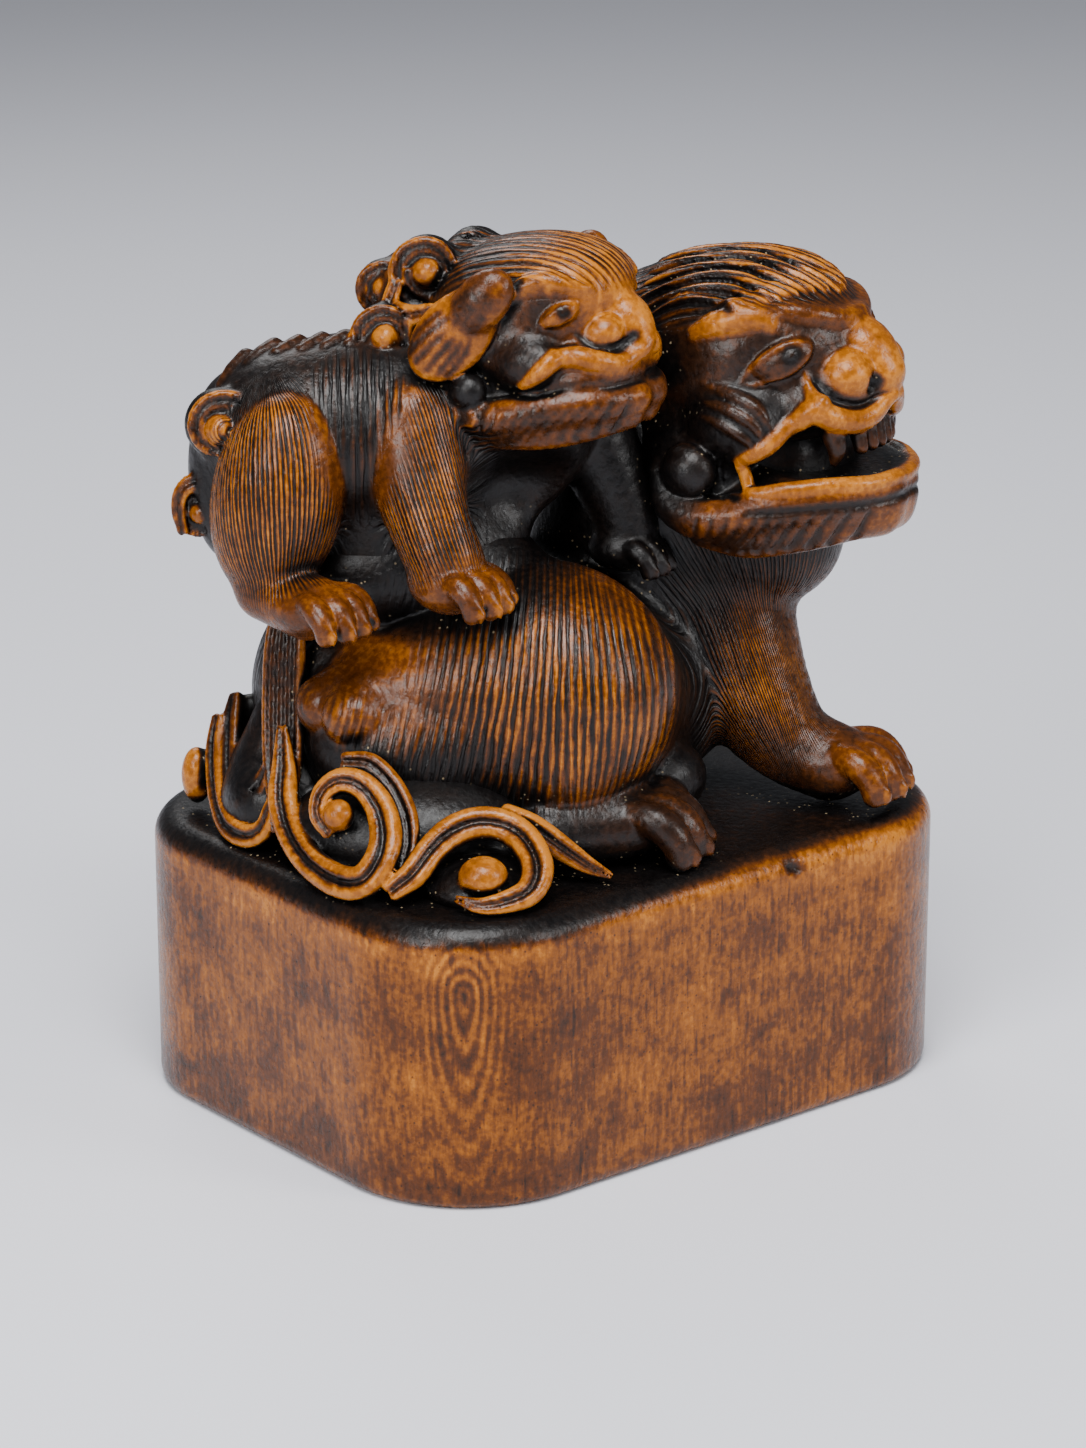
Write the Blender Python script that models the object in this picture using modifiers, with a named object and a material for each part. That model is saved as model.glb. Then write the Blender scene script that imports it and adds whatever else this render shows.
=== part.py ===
"""A boxwood netsuke: a lion-dog crouching on a rounded block, with its cub on its back.

The block and the figure are cut from one piece of wood, so the result is one closed solid. The block is a
rounded box. The figure is laid out as rounded forms, which are run together into one skin, thinned to few
faces and joined to the block. Lengths are in metres, +Z is up, +X runs along the block towards the lion-dog's
head, and the origin is the middle of the block's underside.
"""

import math

import bmesh
import bpy
from mathutils import Matrix, Vector

MM = 0.001

# Driving sizes of the block
BLOCK_LENGTH = 34.0 * MM
BLOCK_WIDTH = 27.2 * MM
BLOCK_HEIGHT = 13.85 * MM
CORNER_RADIUS = 6.9 * MM
TOP_EDGE_RADIUS = 1.3 * MM
FOOT_EDGE_RADIUS = 0.5 * MM
CORNER_STEPS = 8
TOP_EDGE_STEPS = 3

# The two cord holes in the block's far long side, and the tunnel that links them
CORD_HOLE_DIAMETER = 3.4 * MM
CORD_HOLE_SPACING = 9.0 * MM
CORD_HOLE_HEIGHT = 7.0 * MM
CORD_TUNNEL_DEPTH = 5.0 * MM
# How far the tunnel's cutter runs out of the wall, how deep its shoulders are and how far they draw in
CORD_OVERRUN = 2.0 * MM
CORD_SHOULDER = 0.4
CORD_NARROWING = 0.95

# Driving sizes of the figure. It is laid out in its own units, of which it is FIGURE_UNITS tall above the
# block: one unit is one millimetre on the real netsuke. The layout frame is turned to the show side: its
# first number runs right along the show side, its second comes forward out of it and its third goes up
# from the block's top.
FIGURE_HEIGHT = 28.6 * MM
FIGURE_UNITS = 28.6
UNIT = FIGURE_HEIGHT / FIGURE_UNITS
SHOW_SIDE_TURN = math.radians(39.28)

# The lion-dog's open mouth along its head's directions: place, radii and degrees that it is tipped down
MOUTH_PLACE = (5.3, 0.0, -3.6)
MOUTH_RADII = (4.4, 6.6, 1.1)
MOUTH_TILT = -6.0

# How finely the skin is made, and how many faces are left of it
SKIN_GRAIN = 0.27 * MM
SKIN_SMOOTHING = 0.5
SKIN_SMOOTH_ROUNDS = 2
SKIN_TRIANGLES = 8200

SHARP_EDGE = math.radians(40.0)

# The finish: colour with alpha, and how rough the waxed wood is
STAINED_BOXWOOD = (0.23, 0.085, 0.022, 1.0)
WAXED_ROUGHNESS = 0.42

BALL_SEGMENTS = 20
BALL_RINGS = 12
LIMB_STEPS = 5
CURL_POINTS_PER_TURN = 14

# How far a curl's lock winds in towards its bead, and how far it thins, as shares
CURL_WIND = 0.55
CURL_TAPER = 0.35

# Where the locks of the curls begin, in degrees from right by way of up
CROWN_CURL_START = -50.0
NAPE_CURL_START = -75.0
TAIL_CURL_START = 100.0
TAIL_TIP_START = 120.0


class Frame:
    """A place in the figure with its own forward, side and up directions, in the figure's units."""

    def __init__(self, origin, forward, side, up):
        self.origin = Vector(origin)
        self.axes = Matrix((forward, side, up)).transposed()

    def point(self, place):
        """The point in the layout frame of a place given along this frame's own directions."""
        return self.origin + self.axes @ Vector(place)

    def turned(self, turn=0.0, tilt=0.0):
        """This frame's axes turned about up, then tilted nose up, in degrees."""
        turning = Matrix.Rotation(math.radians(turn), 3, "Z")
        tilting = Matrix.Rotation(math.radians(-tilt), 3, "Y")
        return self.axes @ turning @ tilting


def facing(origin, turn, tilt):
    """A head's frame: it faces right, turned forward by `turn` and raised by `tilt` degrees."""
    across, rise = math.radians(turn), math.radians(tilt)
    forward = Vector((math.cos(across) * math.cos(rise), math.sin(across) * math.cos(rise), math.sin(rise)))
    side = Vector((-math.sin(across), math.cos(across), 0.0))
    return Frame(origin, forward, side, Vector(
        (-math.cos(across) * math.sin(rise), -math.sin(across) * math.sin(rise), math.cos(rise))))


BODY = Frame((0.0, 0.0, 0.0), (1.0, 0.0, 0.0), (0.0, 1.0, 0.0), (0.0, 0.0, 1.0))
MIRRORED = Frame((0.0, 0.0, 0.0), (math.cos(2.0 * SHOW_SIDE_TURN), -math.sin(2.0 * SHOW_SIDE_TURN), 0.0),
                 (-math.sin(2.0 * SHOW_SIDE_TURN), -math.cos(2.0 * SHOW_SIDE_TURN), 0.0), (0.0, 0.0, 1.0))
ALONG_BLOCK = Frame((0.0, 0.0, 0.0), (math.cos(SHOW_SIDE_TURN), -math.sin(SHOW_SIDE_TURN), 0.0),
                    (math.sin(SHOW_SIDE_TURN), math.cos(SHOW_SIDE_TURN), 0.0), (0.0, 0.0, 1.0))
PARENT_HEAD = facing((9.6, -2.5, 20.44), 28.0, 8.0)
CUB_HEAD = facing((-0.46, 3.0, 23.67), 28.0, 8.0)


# From the layout frame to metres: turned from the show side and set on the block's top
TO_WORLD = Matrix((
    (math.cos(SHOW_SIDE_TURN) * UNIT, -math.sin(SHOW_SIDE_TURN) * UNIT, 0.0, 0.0),
    (-math.sin(SHOW_SIDE_TURN) * UNIT, -math.cos(SHOW_SIDE_TURN) * UNIT, 0.0, 0.0),
    (0.0, 0.0, UNIT, BLOCK_HEIGHT),
    (0.0, 0.0, 0.0, 1.0)))


def unit_ball():
    """A mesh of a ball of radius 1, the start of every egg."""
    shape = bmesh.new()
    bmesh.ops.create_uvsphere(shape, u_segments=BALL_SEGMENTS, v_segments=BALL_RINGS, radius=1.0)
    mesh = bpy.data.meshes.new("ball")
    shape.to_mesh(mesh)
    shape.free()
    return mesh


def egg_matrix(middle, axes, radii):
    """The matrix that carries the unit ball to an ellipsoid in the world."""
    stretched = axes @ Matrix.Diagonal(Vector(radii))
    return TO_WORLD @ Matrix.Translation(middle) @ stretched.to_4x4()


class Skin:
    """Gathers the figure's rounded forms in one mesh."""

    def __init__(self):
        self.mesh = bmesh.new()
        self.ball = unit_ball()

    def egg(self, frame, centre, radii, turn=0.0, tilt=0.0):
        """An ellipsoid at a place in a frame, with its radii along the frame's turned axes."""
        egg = self.ball.copy()
        egg.transform(egg_matrix(frame.point(centre), frame.turned(turn, tilt), radii))
        self.mesh.from_mesh(egg)
        bpy.data.meshes.remove(egg)

    def limb(self, frame, stations):
        """A tapering round limb through stations of (forward, side, up, radius), with round ends."""
        curve = bpy.data.curves.new("limb", "CURVE")
        curve.dimensions = "3D"
        curve.resolution_u = LIMB_STEPS
        curve.bevel_depth = UNIT
        curve.bevel_resolution = 3
        curve.use_fill_caps = True
        spline = curve.splines.new("BEZIER")
        spline.bezier_points.add(len(stations) - 1)
        for point, station in zip(spline.bezier_points, stations):
            point.co = TO_WORLD @ frame.point(station[:3])
            point.radius = station[3]
            point.handle_left_type = point.handle_right_type = "AUTO"
        limb = bpy.data.objects.new("limb", curve)
        bpy.context.scene.collection.objects.link(limb)
        tube = as_mesh(limb)
        self.mesh.from_mesh(tube)
        bpy.data.objects.remove(limb)
        bpy.data.meshes.remove(tube)
        for station in (stations[0], stations[-1]):
            self.egg(frame, station[:3], (station[3],) * 3)

    def curl(self, frame, centre, radius, thickness, turns, start, bead):
        """A lock that winds in to a bead, in the frame's forward and up plane."""
        count = max(4, round(CURL_POINTS_PER_TURN * abs(turns) / 2.0))
        stations = []
        for index in range(count + 1):
            share = index / count
            angle = math.radians(start) + share * turns * 2.0 * math.pi
            reach = radius * (1.0 - CURL_WIND * share)
            stations.append((centre[0] + reach * math.cos(angle), centre[1],
                             centre[2] + reach * math.sin(angle), thickness * (1.0 - CURL_TAPER * share)))
        self.limb(frame, stations)
        self.egg(frame, centre, (bead,) * 3)


def as_mesh(thing):
    """The mesh that an object evaluates to, with its seams welded."""
    graph = bpy.context.evaluated_depsgraph_get()
    mesh = bpy.data.meshes.new_from_object(thing.evaluated_get(graph))
    weld = bmesh.new()
    weld.from_mesh(mesh)
    bmesh.ops.remove_doubles(weld, verts=weld.verts, dist=1e-7)
    weld.to_mesh(mesh)
    weld.free()
    return mesh


def parent_body(skin):
    """The lion-dog's trunk, haunches, legs and feet, crouched along the block."""
    skin.egg(ALONG_BLOCK, (-1.5, 0.0, 5.2), (12.2, 8.4, 7.0))
    skin.egg(ALONG_BLOCK, (-7.4, -1.0, 6.0), (6.8, 8.2, 6.6))
    haunches(skin)
    skin.limb(BODY, [(10.2, -3.0, 16.5, 5.4), (7.6, -4.2, 11.5, 5.0), (6.6, -4.5, 6.5, 5.0)])
    skin.egg(BODY, (4.4, -4.4, 14.0), (5.4, 5.6, 7.0))
    skin.limb(BODY, [(9.0, -2.8, 9.4, 2.9), (9.5, -1.6, 6.2, 2.7), (11.4, -0.4, 3.0, 2.2),
                     (14.2, 1.0, 1.5, 1.9)])
    paw(skin, (15.5, 1.4, 1.4), 24.0, 1.12)
    skin.limb(ALONG_BLOCK, [(8.4, -5.2, 9.0, 3.2), (9.6, -6.4, 5.0, 2.8), (11.8, -7.4, 1.6, 2.0)])
    paw(skin, tuple(ALONG_BLOCK.point((13.2, -7.6, 1.2))), -40.0, 1.0)


def haunches(skin):
    """The thighs: a tall front lobe with a long low lobe behind it, and the foot under each."""
    for side in (1.0, -1.0):
        show = BODY if side > 0.0 else MIRRORED
        skin.egg(ALONG_BLOCK, (-3.0, side * 4.6, 7.4), (5.3, 6.2, 5.7))
        skin.egg(ALONG_BLOCK, (-4.4, side * 6.6, 4.6), (3.4, 3.2, 2.8))
        skin.egg(show, (-3.4, 5.0, 8.2), (8.2, 4.6, 3.9))
        skin.limb(ALONG_BLOCK, [(-6.4, side * 8.0, 1.6, 1.7), (-3.4, side * 9.2, 1.7, 1.8)])
        paw(skin, tuple(ALONG_BLOCK.point((-1.7, side * 9.6, 1.2))), -26.0 if side > 0 else -52.0, 1.05)
        skin.egg(ALONG_BLOCK, (1.5, side * 7.0, 2.4), (2.3, 1.9, 1.9))


def paw(skin, place, turn, size):
    """A paw with four toes, pointing right and turned forward by `turn` degrees."""
    foot = facing(place, turn, 0.0)
    skin.egg(foot, (-0.4 * size, 0.0, 0.0), (2.3 * size, 1.95 * size, 1.35 * size))
    for toe in range(4):
        across = (toe - 1.5) * 1.02
        reach = 1.6 - 0.22 * across * across
        skin.egg(foot, (reach * size, across * size, -0.15 * size),
                 (1.05 * size, 0.62 * size, 0.82 * size), turn=7.0 * across)


def tail(skin):
    """The tail: a hank of hair down the rump that parts into scrolls over the block's corner."""
    skin.egg(BODY, (-6.0, 9.2, 1.4), (6.2, 3.9, 3.1))
    skin.egg(BODY, (-12.8, 4.6, 1.6), (3.0, 3.4, 2.6))
    skin.limb(BODY, [(-12.0, 3.4, 9.4, 1.5), (-12.2, 5.2, 6.6, 1.6), (-12.3, 6.8, 4.6, 1.6),
                     (-12.5, 8.4, 2.8, 1.3)])
    skin.limb(BODY, [(-12.3, 8.8, 3.0, 0.85), (-11.9, 10.6, 1.8, 0.8), (-10.9, 12.3, 1.1, 0.8),
                     (-9.5, 14.1, 0.7, 0.8), (-8.4, 15.1, 0.9, 0.85), (-7.5, 15.0, 1.7, 0.85),
                     (-7.2, 14.1, 2.7, 0.85), (-7.5, 12.9, 3.8, 0.85), (-8.3, 12.0, 4.7, 0.8),
                     (-9.4, 11.6, 4.9, 0.75), (-10.3, 11.8, 4.3, 0.65), (-10.4, 12.3, 3.2, 0.55)])
    skin.egg(BODY, (-9.3, 12.5, 3.2), (0.75, 0.8, 0.8))
    skin.limb(BODY, [(-8.8, 10.8, 5.2, 0.65), (-7.4, 11.2, 4.9, 0.65), (-6.4, 12.2, 3.8, 0.65),
                     (-6.2, 13.2, 2.7, 0.6), (-6.4, 14.2, 1.9, 0.5)])
    skin.limb(BODY, [(-6.8, 15.6, 0.8, 0.75), (-5.4, 14.7, 2.0, 0.8), (-4.3, 13.3, 2.7, 0.85),
                     (-2.95, 12.8, 3.0, 0.85), (-1.6, 12.9, 2.9, 0.85), (-0.7, 13.8, 2.4, 0.85),
                     (-0.2, 15.0, 1.6, 0.85), (-0.6, 16.0, 0.9, 0.8), (-1.8, 16.7, 0.5, 0.7)])
    skin.egg(BODY, (-3.0, 13.6, 0.4), (2.6, 2.6, 1.2))
    skin.egg(BODY, (-2.9, 15.5, 1.4), (1.1, 1.0, 1.0))
    skin.limb(BODY, [(-1.6, 12.4, 3.1, 0.8), (-0.4, 12.4, 2.6, 0.75), (1.2, 12.4, 1.2, 0.65),
                     (2.8, 12.4, 0.4, 0.45)])
    skin.limb(BODY, [(-12.9, 8.4, 2.2, 0.75), (-13.2, 8.4, 1.1, 0.75), (-14.0, 7.6, 0.6, 0.8),
                     (-15.0, 6.2, 0.7, 0.8), (-15.7, 3.8, 1.6, 0.8), (-15.8, 2.4, 3.8, 0.75)])
    skin.limb(BODY, [(-13.1, 7.0, 3.2, 0.7), (-13.7, 6.8, 2.2, 0.7), (-14.4, 6.0, 1.5, 0.7),
                     (-15.0, 4.4, 2.1, 0.7), (-15.1, 2.2, 4.4, 0.7), (-14.9, 1.4, 5.4, 0.5)])
    skin.egg(BODY, (-16.8, 1.9, 1.7), (0.75, 0.9, 1.5))
    skin.egg(ALONG_BLOCK, (-12.6, -4.6, 2.0), (1.8, 3.4, 2.6))


def lion_head(skin, head, size):
    """The features that both heads share: skull, brows, eyes, nose, cheeks and jaw."""
    def at(forward, side, up):
        return (forward * size, side * size, up * size)

    def egg(centre, radii, **turns):
        skin.egg(head, at(*centre), [radius * size for radius in radii], **turns)

    egg((-0.6, 0.0, 0.6), (5.9, 5.6, 5.4))
    egg((2.0, 0.0, 3.0), (4.0, 4.6, 2.9))
    egg((5.6, 0.0, 1.0), (2.2, 1.7, 1.7))
    egg((6.4, 0.0, -0.1), (1.5, 1.6, 1.4))
    egg((4.0, 0.0, -1.0), (3.2, 4.2, 1.8))
    for side in (1.0, -1.0):
        egg((6.1, side * 1.9, -0.2), (1.3, 1.1, 1.1))
        egg((4.3, side * 4.3, 1.6), (1.7, 0.7, 0.8), turn=-side * 35.0, tilt=14.0)
        skin.limb(head, [at(1.4, side * 5.4, 3.4) + (0.7 * size,), at(3.2, side * 5.0, 3.9) + (0.8 * size,),
                         at(4.9, side * 3.5, 3.7) + (0.7 * size,), at(6.0, side * 1.6, 2.7) + (0.6 * size,)])
        egg((2.1, side * 4.7, -0.9), (1.9, 1.4, 1.5))


def parent_head(skin):
    """The lion-dog's head: mouth open, beard swept back to a curl at the jaw."""
    lion_head(skin, PARENT_HEAD, 1.0)
    skin.egg(PARENT_HEAD, (2.2, 0.0, -5.2), (5.4, 5.4, 2.5))
    skin.egg(PARENT_HEAD, (-1.5, 0.0, -3.4), (4.6, 6.0, 4.0))
    for side in (1.0, -1.0):
        skin.limb(PARENT_HEAD, [(6.6, side * 1.6, -6.0, 1.2), (4.6, side * 3.9, -6.1, 1.2),
                                (2.0, side * 5.4, -6.2, 1.2), (-0.8, side * 5.9, -5.6, 1.0)])
        skin.egg(PARENT_HEAD, (-0.8, side * 5.9, -3.6), (1.3, 1.0, 1.3))
        skin.limb(PARENT_HEAD, [(6.6, side * 1.2, -2.4, 0.6), (5.4, side * 3.8, -1.9, 0.6),
                                (4.2, side * 4.9, -2.3, 0.6), (2.4, side * 5.5, -3.0, 0.6)])
    skin.egg(PARENT_HEAD, (6.4, 0.0, -5.9), (1.5, 2.2, 1.9))
    skin.limb(PARENT_HEAD, [(-2.4, 0.0, 2.4, 3.6), (-4.8, 0.0, 0.4, 4.4), (-6.2, 0.0, -4.0, 4.4)])


def cub_head(skin):
    """The cub's head: mouth shut, ears swept back, mane in curls behind it."""
    lion_head(skin, CUB_HEAD, 0.8)
    skin.egg(CUB_HEAD, (1.9, 0.0, -2.9), (3.8, 3.9, 1.7))
    for side in (1.0, -1.0):
        skin.limb(CUB_HEAD, [(5.0, side * 1.0, -3.3, 1.0), (3.4, side * 2.9, -3.6, 1.0),
                             (1.2, side * 4.1, -3.6, 1.0), (-1.2, side * 4.7, -3.0, 0.9)])
        skin.egg(CUB_HEAD, (-1.1, side * 4.9, -1.6), (0.9, 0.8, 0.9))
        skin.egg(CUB_HEAD, (-1.3, side * 5.5, 1.1), (2.6, 0.95, 1.65), turn=side * -20.0, tilt=41.0)
        skin.egg(CUB_HEAD, (0.3, side * 5.1, 2.5), (1.7, 0.95, 1.2), turn=side * -20.0, tilt=41.0)
    skin.curl(BODY, (-5.5, 3.3, 26.5), 1.6, 0.5, turns=-1.1, start=CROWN_CURL_START, bead=0.65)
    skin.curl(BODY, (-7.4, 4.5, 23.8), 1.8, 0.5, turns=-1.1, start=NAPE_CURL_START, bead=0.7)
    skin.egg(BODY, (-7.2, 1.6, 25.2), (1.3, 1.4, 1.4))
    skin.egg(BODY, (-3.2, 1.4, 27.0), (1.8, 1.6, 1.3))
    skin.egg(BODY, (-5.6, 0.6, 25.0), (2.6, 2.6, 2.5))
    skin.egg(BODY, (-6.6, 2.4, 23.0), (2.2, 2.2, 2.4))
    skin.egg(BODY, (-5.4, -2.2, 22.6), (2.8, 2.6, 3.4))


def cub_body(skin):
    """The cub's trunk, legs, feet and tail, lying across the parent's back."""
    skin.limb(BODY, [(-11.2, 4.6, 18.2, 4.7), (-7.2, 3.6, 18.8, 4.9), (-2.4, 2.6, 18.6, 4.5)])
    skin.egg(BODY, (-1.6, 2.6, 20.6), (4.2, 4.2, 4.2))
    skin.limb(BODY, [(-12.8, 4.8, 22.2, 0.7), (-10.6, 4.2, 23.2, 0.8), (-8.6, 3.6, 23.2, 0.7)])
    skin.egg(BODY, (-7.0, 3.0, 14.0), (6.4, 4.0, 3.8))
    skin.egg(BODY, (-12.3, 7.0, 17.0), (3.0, 3.1, 5.0), tilt=-6.0)
    skin.limb(BODY, [(-12.8, 7.6, 12.8, 1.6), (-10.8, 9.2, 11.9, 1.5)])
    paw(skin, (-9.7, 9.8, 11.8), 38.0, 0.8)
    skin.limb(BODY, [(-6.0, 6.0, 19.6, 2.5), (-5.4, 7.2, 17.2, 2.3), (-4.6, 8.4, 14.8, 2.0),
                     (-3.6, 9.0, 13.2, 1.6)])
    paw(skin, (-2.9, 9.3, 12.6), 30.0, 0.85)
    skin.limb(BODY, [(2.0, 0.4, 18.6, 2.2), (3.4, 0.8, 15.6, 1.8), (4.0, 1.2, 13.4, 1.5)])
    paw(skin, (4.3, 1.6, 12.7), 20.0, 0.75)
    skin.limb(BODY, [(-11.0, 0.6, 18.0, 3.2), (-11.2, -0.8, 14.4, 2.4), (-9.6, -1.0, 12.2, 1.6)])
    skin.egg(BODY, (-14.8, 3.4, 17.6), (1.9, 2.2, 4.2))
    skin.curl(BODY, (-15.6, 5.0, 19.5), 1.8, 0.5, turns=-1.1, start=TAIL_CURL_START, bead=0.75)
    skin.curl(BODY, (-16.1, 4.6, 15.6), 1.0, 0.5, turns=1.0, start=TAIL_TIP_START, bead=0.6)


def block(collection):
    """The block: a box with round upright corners, a soft top edge and a flat underside."""
    bpy.ops.mesh.primitive_cube_add(size=1.0, location=(0.0, 0.0, BLOCK_HEIGHT / 2.0))
    box = bpy.context.active_object
    box.scale = (BLOCK_LENGTH, BLOCK_WIDTH, BLOCK_HEIGHT)
    bpy.ops.object.transform_apply(location=True, rotation=False, scale=True)
    move_to(box, collection)
    shape = bmesh.new()
    shape.from_mesh(box.data)
    uprights = [edge for edge in shape.edges
                if abs(edge.verts[0].co.z - edge.verts[1].co.z) > BLOCK_HEIGHT / 2.0]
    bmesh.ops.bevel(shape, geom=uprights, offset=CORNER_RADIUS, segments=CORNER_STEPS, profile=0.5,
                    affect="EDGES")
    for level, radius, steps in ((BLOCK_HEIGHT, TOP_EDGE_RADIUS, TOP_EDGE_STEPS),
                                 (0.0, FOOT_EDGE_RADIUS, 1)):
        rim = [edge for edge in shape.edges if all(abs(vertex.co.z - level) < 1e-6 for vertex in edge.verts)]
        bmesh.ops.bevel(shape, geom=rim, offset=radius, segments=steps, profile=0.5, affect="EDGES")
    shape.to_mesh(box.data)
    shape.free()
    return box


def cord_holes(collection):
    """The cutter for the cord's tunnel: a half ring that opens twice in the far long side."""
    curve = bpy.data.curves.new("cord_tunnel", "CURVE")
    curve.dimensions = "3D"
    curve.resolution_u = LIMB_STEPS + 1
    curve.bevel_depth = CORD_HOLE_DIAMETER / 2.0
    curve.bevel_resolution = 2
    curve.use_fill_caps = True
    spline = curve.splines.new("BEZIER")
    half, wall = CORD_HOLE_SPACING / 2.0, BLOCK_WIDTH / 2.0
    outside, shoulder = wall + CORD_OVERRUN, wall - CORD_SHOULDER * CORD_TUNNEL_DEPTH
    route = [(-half, outside), (-CORD_NARROWING * half, shoulder), (0.0, wall - CORD_TUNNEL_DEPTH),
             (CORD_NARROWING * half, shoulder), (half, outside)]
    spline.bezier_points.add(len(route) - 1)
    for point, (along, across) in zip(spline.bezier_points, route):
        point.co = (along, across, CORD_HOLE_HEIGHT)
        point.handle_left_type = point.handle_right_type = "AUTO"
    tunnel = bpy.data.objects.new("cord_tunnel", curve)
    bpy.context.scene.collection.objects.link(tunnel)
    cutter = bpy.data.objects.new("cord_tunnel_cutter", as_mesh(tunnel))
    bpy.data.objects.remove(tunnel)
    return as_cutter(cutter, collection)


def mouth_cutter(collection):
    """The cutter for the lion-dog's open mouth: a flat lens that runs out at the corners."""
    mesh = unit_ball()
    mesh.transform(egg_matrix(PARENT_HEAD.point(MOUTH_PLACE), PARENT_HEAD.turned(tilt=MOUTH_TILT), MOUTH_RADII))
    mesh.flip_normals()
    return as_cutter(bpy.data.objects.new("mouth_cutter", mesh), collection)


def as_cutter(cutter, collection):
    """Link a cutter where the build leaves it out."""
    collection.objects.link(cutter)
    cutter.hide_render = True
    cutter.display_type = "WIRE"
    return cutter


def move_to(thing, collection):
    """Link an object in one collection alone."""
    for home in list(thing.users_collection):
        home.objects.unlink(thing)
    collection.objects.link(thing)


def with_modifier(thing, kind, **settings):
    """Run one modifier over an object and keep its result as the object's mesh."""
    modifier = thing.modifiers.new(kind.lower(), kind)
    for name, value in settings.items():
        setattr(modifier, name, value)
    mesh = as_mesh(thing)
    thing.modifiers.clear()
    thing.data = mesh


def largest_shell(thing):
    """Delete all but the shell that spans the most, so that nothing loose is left inside."""
    shape = bmesh.new()
    shape.from_mesh(thing.data)
    unseen, shells = set(shape.verts), []
    while unseen:
        shell, border = set(), [next(iter(unseen))]
        while border:
            vertex = border.pop()
            if vertex in shell:
                continue
            shell.add(vertex)
            border.extend(edge.other_vert(vertex) for edge in vertex.link_edges)
        unseen -= shell
        shells.append(shell)
    keep = max(shells, key=len)
    bmesh.ops.delete(shape, geom=[vertex for vertex in shape.verts if vertex not in keep], context="VERTS")
    shape.to_mesh(thing.data)
    shape.free()


def figure(collection):
    """The figure as one thin-faced skin, sunk a little into the block."""
    skin = Skin()
    parent_body(skin)
    tail(skin)
    parent_head(skin)
    cub_body(skin)
    cub_head(skin)
    bmesh.ops.recalc_face_normals(skin.mesh, faces=skin.mesh.faces)
    mesh = bpy.data.meshes.new("figure")
    skin.mesh.to_mesh(mesh)
    skin.mesh.free()
    carving = bpy.data.objects.new("figure", mesh)
    collection.objects.link(carving)
    with_modifier(carving, "REMESH", mode="VOXEL", voxel_size=SKIN_GRAIN)
    largest_shell(carving)
    with_modifier(carving, "SMOOTH", factor=SKIN_SMOOTHING, iterations=SKIN_SMOOTH_ROUNDS)
    with_modifier(carving, "TRIANGULATE")
    with_modifier(carving, "DECIMATE", ratio=SKIN_TRIANGLES / len(carving.data.polygons))
    return carving


def boxwood():
    """Stained boxwood, worn to honey brown."""
    material = bpy.data.materials.new("stained_boxwood")
    material.use_nodes = True
    shader = material.node_tree.nodes["Principled BSDF"]
    shader.inputs["Base Color"].default_value = STAINED_BOXWOOD
    shader.inputs["Roughness"].default_value = WAXED_ROUGHNESS
    shader.inputs["Metallic"].default_value = 0.0
    return material


def main():
    """Build the netsuke as one object."""
    for thing in list(bpy.data.objects):
        bpy.data.objects.remove(thing)
    made = bpy.data.collections.new("netsuke")
    cutters = bpy.data.collections.new("cutters")
    bpy.context.scene.collection.children.link(made)
    bpy.context.scene.collection.children.link(cutters)

    netsuke = block(made)
    netsuke.name = netsuke.data.name = "netsuke"
    carving = figure(cutters)
    with_modifier(carving, "BOOLEAN", operation="DIFFERENCE", solver="EXACT", object=mouth_cutter(cutters))
    with_modifier(netsuke, "BOOLEAN", operation="UNION", solver="EXACT", object=carving)
    with_modifier(netsuke, "BOOLEAN", operation="DIFFERENCE", solver="EXACT", object=cord_holes(cutters))
    bpy.data.objects.remove(carving)
    netsuke.data.shade_smooth()
    netsuke.data.set_sharp_from_angle(angle=SHARP_EDGE)
    netsuke.data.materials.clear()
    netsuke.data.materials.append(boxwood())


main()
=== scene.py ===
"""Looks of a boxwood netsuke: a lion-dog crouching on a rounded block with its cub on its back.

The carving is worked as a solid field: every form is a distance formula, forms are run together or cut
away as a carver would, and the skin of the field becomes the mesh. Lengths are millimetres until the mesh
is made, in the CAD frame: +Z up, +X along the block, origin in the middle of the underside.
"""

import logging
import math
from dataclasses import dataclass, field
from enum import Enum

import bpy
import numpy as np
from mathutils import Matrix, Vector


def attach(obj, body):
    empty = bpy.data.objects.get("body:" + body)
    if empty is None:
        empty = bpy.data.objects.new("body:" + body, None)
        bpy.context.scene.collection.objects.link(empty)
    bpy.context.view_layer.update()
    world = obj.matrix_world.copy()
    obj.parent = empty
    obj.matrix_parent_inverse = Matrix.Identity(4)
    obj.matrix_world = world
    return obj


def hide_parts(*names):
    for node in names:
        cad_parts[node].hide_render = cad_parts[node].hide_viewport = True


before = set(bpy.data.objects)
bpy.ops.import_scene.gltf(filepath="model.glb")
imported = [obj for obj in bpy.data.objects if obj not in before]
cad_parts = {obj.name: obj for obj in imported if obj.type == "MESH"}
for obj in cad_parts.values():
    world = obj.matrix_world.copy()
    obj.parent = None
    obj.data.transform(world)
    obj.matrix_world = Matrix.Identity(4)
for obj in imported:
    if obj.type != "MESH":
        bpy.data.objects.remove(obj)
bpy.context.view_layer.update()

MM = 0.001
LOG = logging.getLogger("netsuke")
Array = np.ndarray
Triple = tuple[float, float, float]
Station = tuple[float, float, float, float]
Value = bpy.types.Node | bpy.types.NodeSocket | float

# How far from a form its distance is kept, in millimetres
FAR = 3.0

# Millimetres outside the skin at which open air is looked for, and what each finding adds to the hollow
# The hollow keeps the dark stain in the cuts, and the shader also darkens it as painted shade
HOLLOW_PROBES = ((0.3, 0.25), (0.8, 0.3), (1.6, 0.25), (2.6, 0.2))

# Millimetres inside the skin at which thin wood is looked for, and what each finding adds to the wear
WEAR_PROBES = ((0.4, 0.5), (0.9, 0.5))

# Millimetres inside the skin at which its stain is read
STAIN_DEPTH = 0.1


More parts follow.
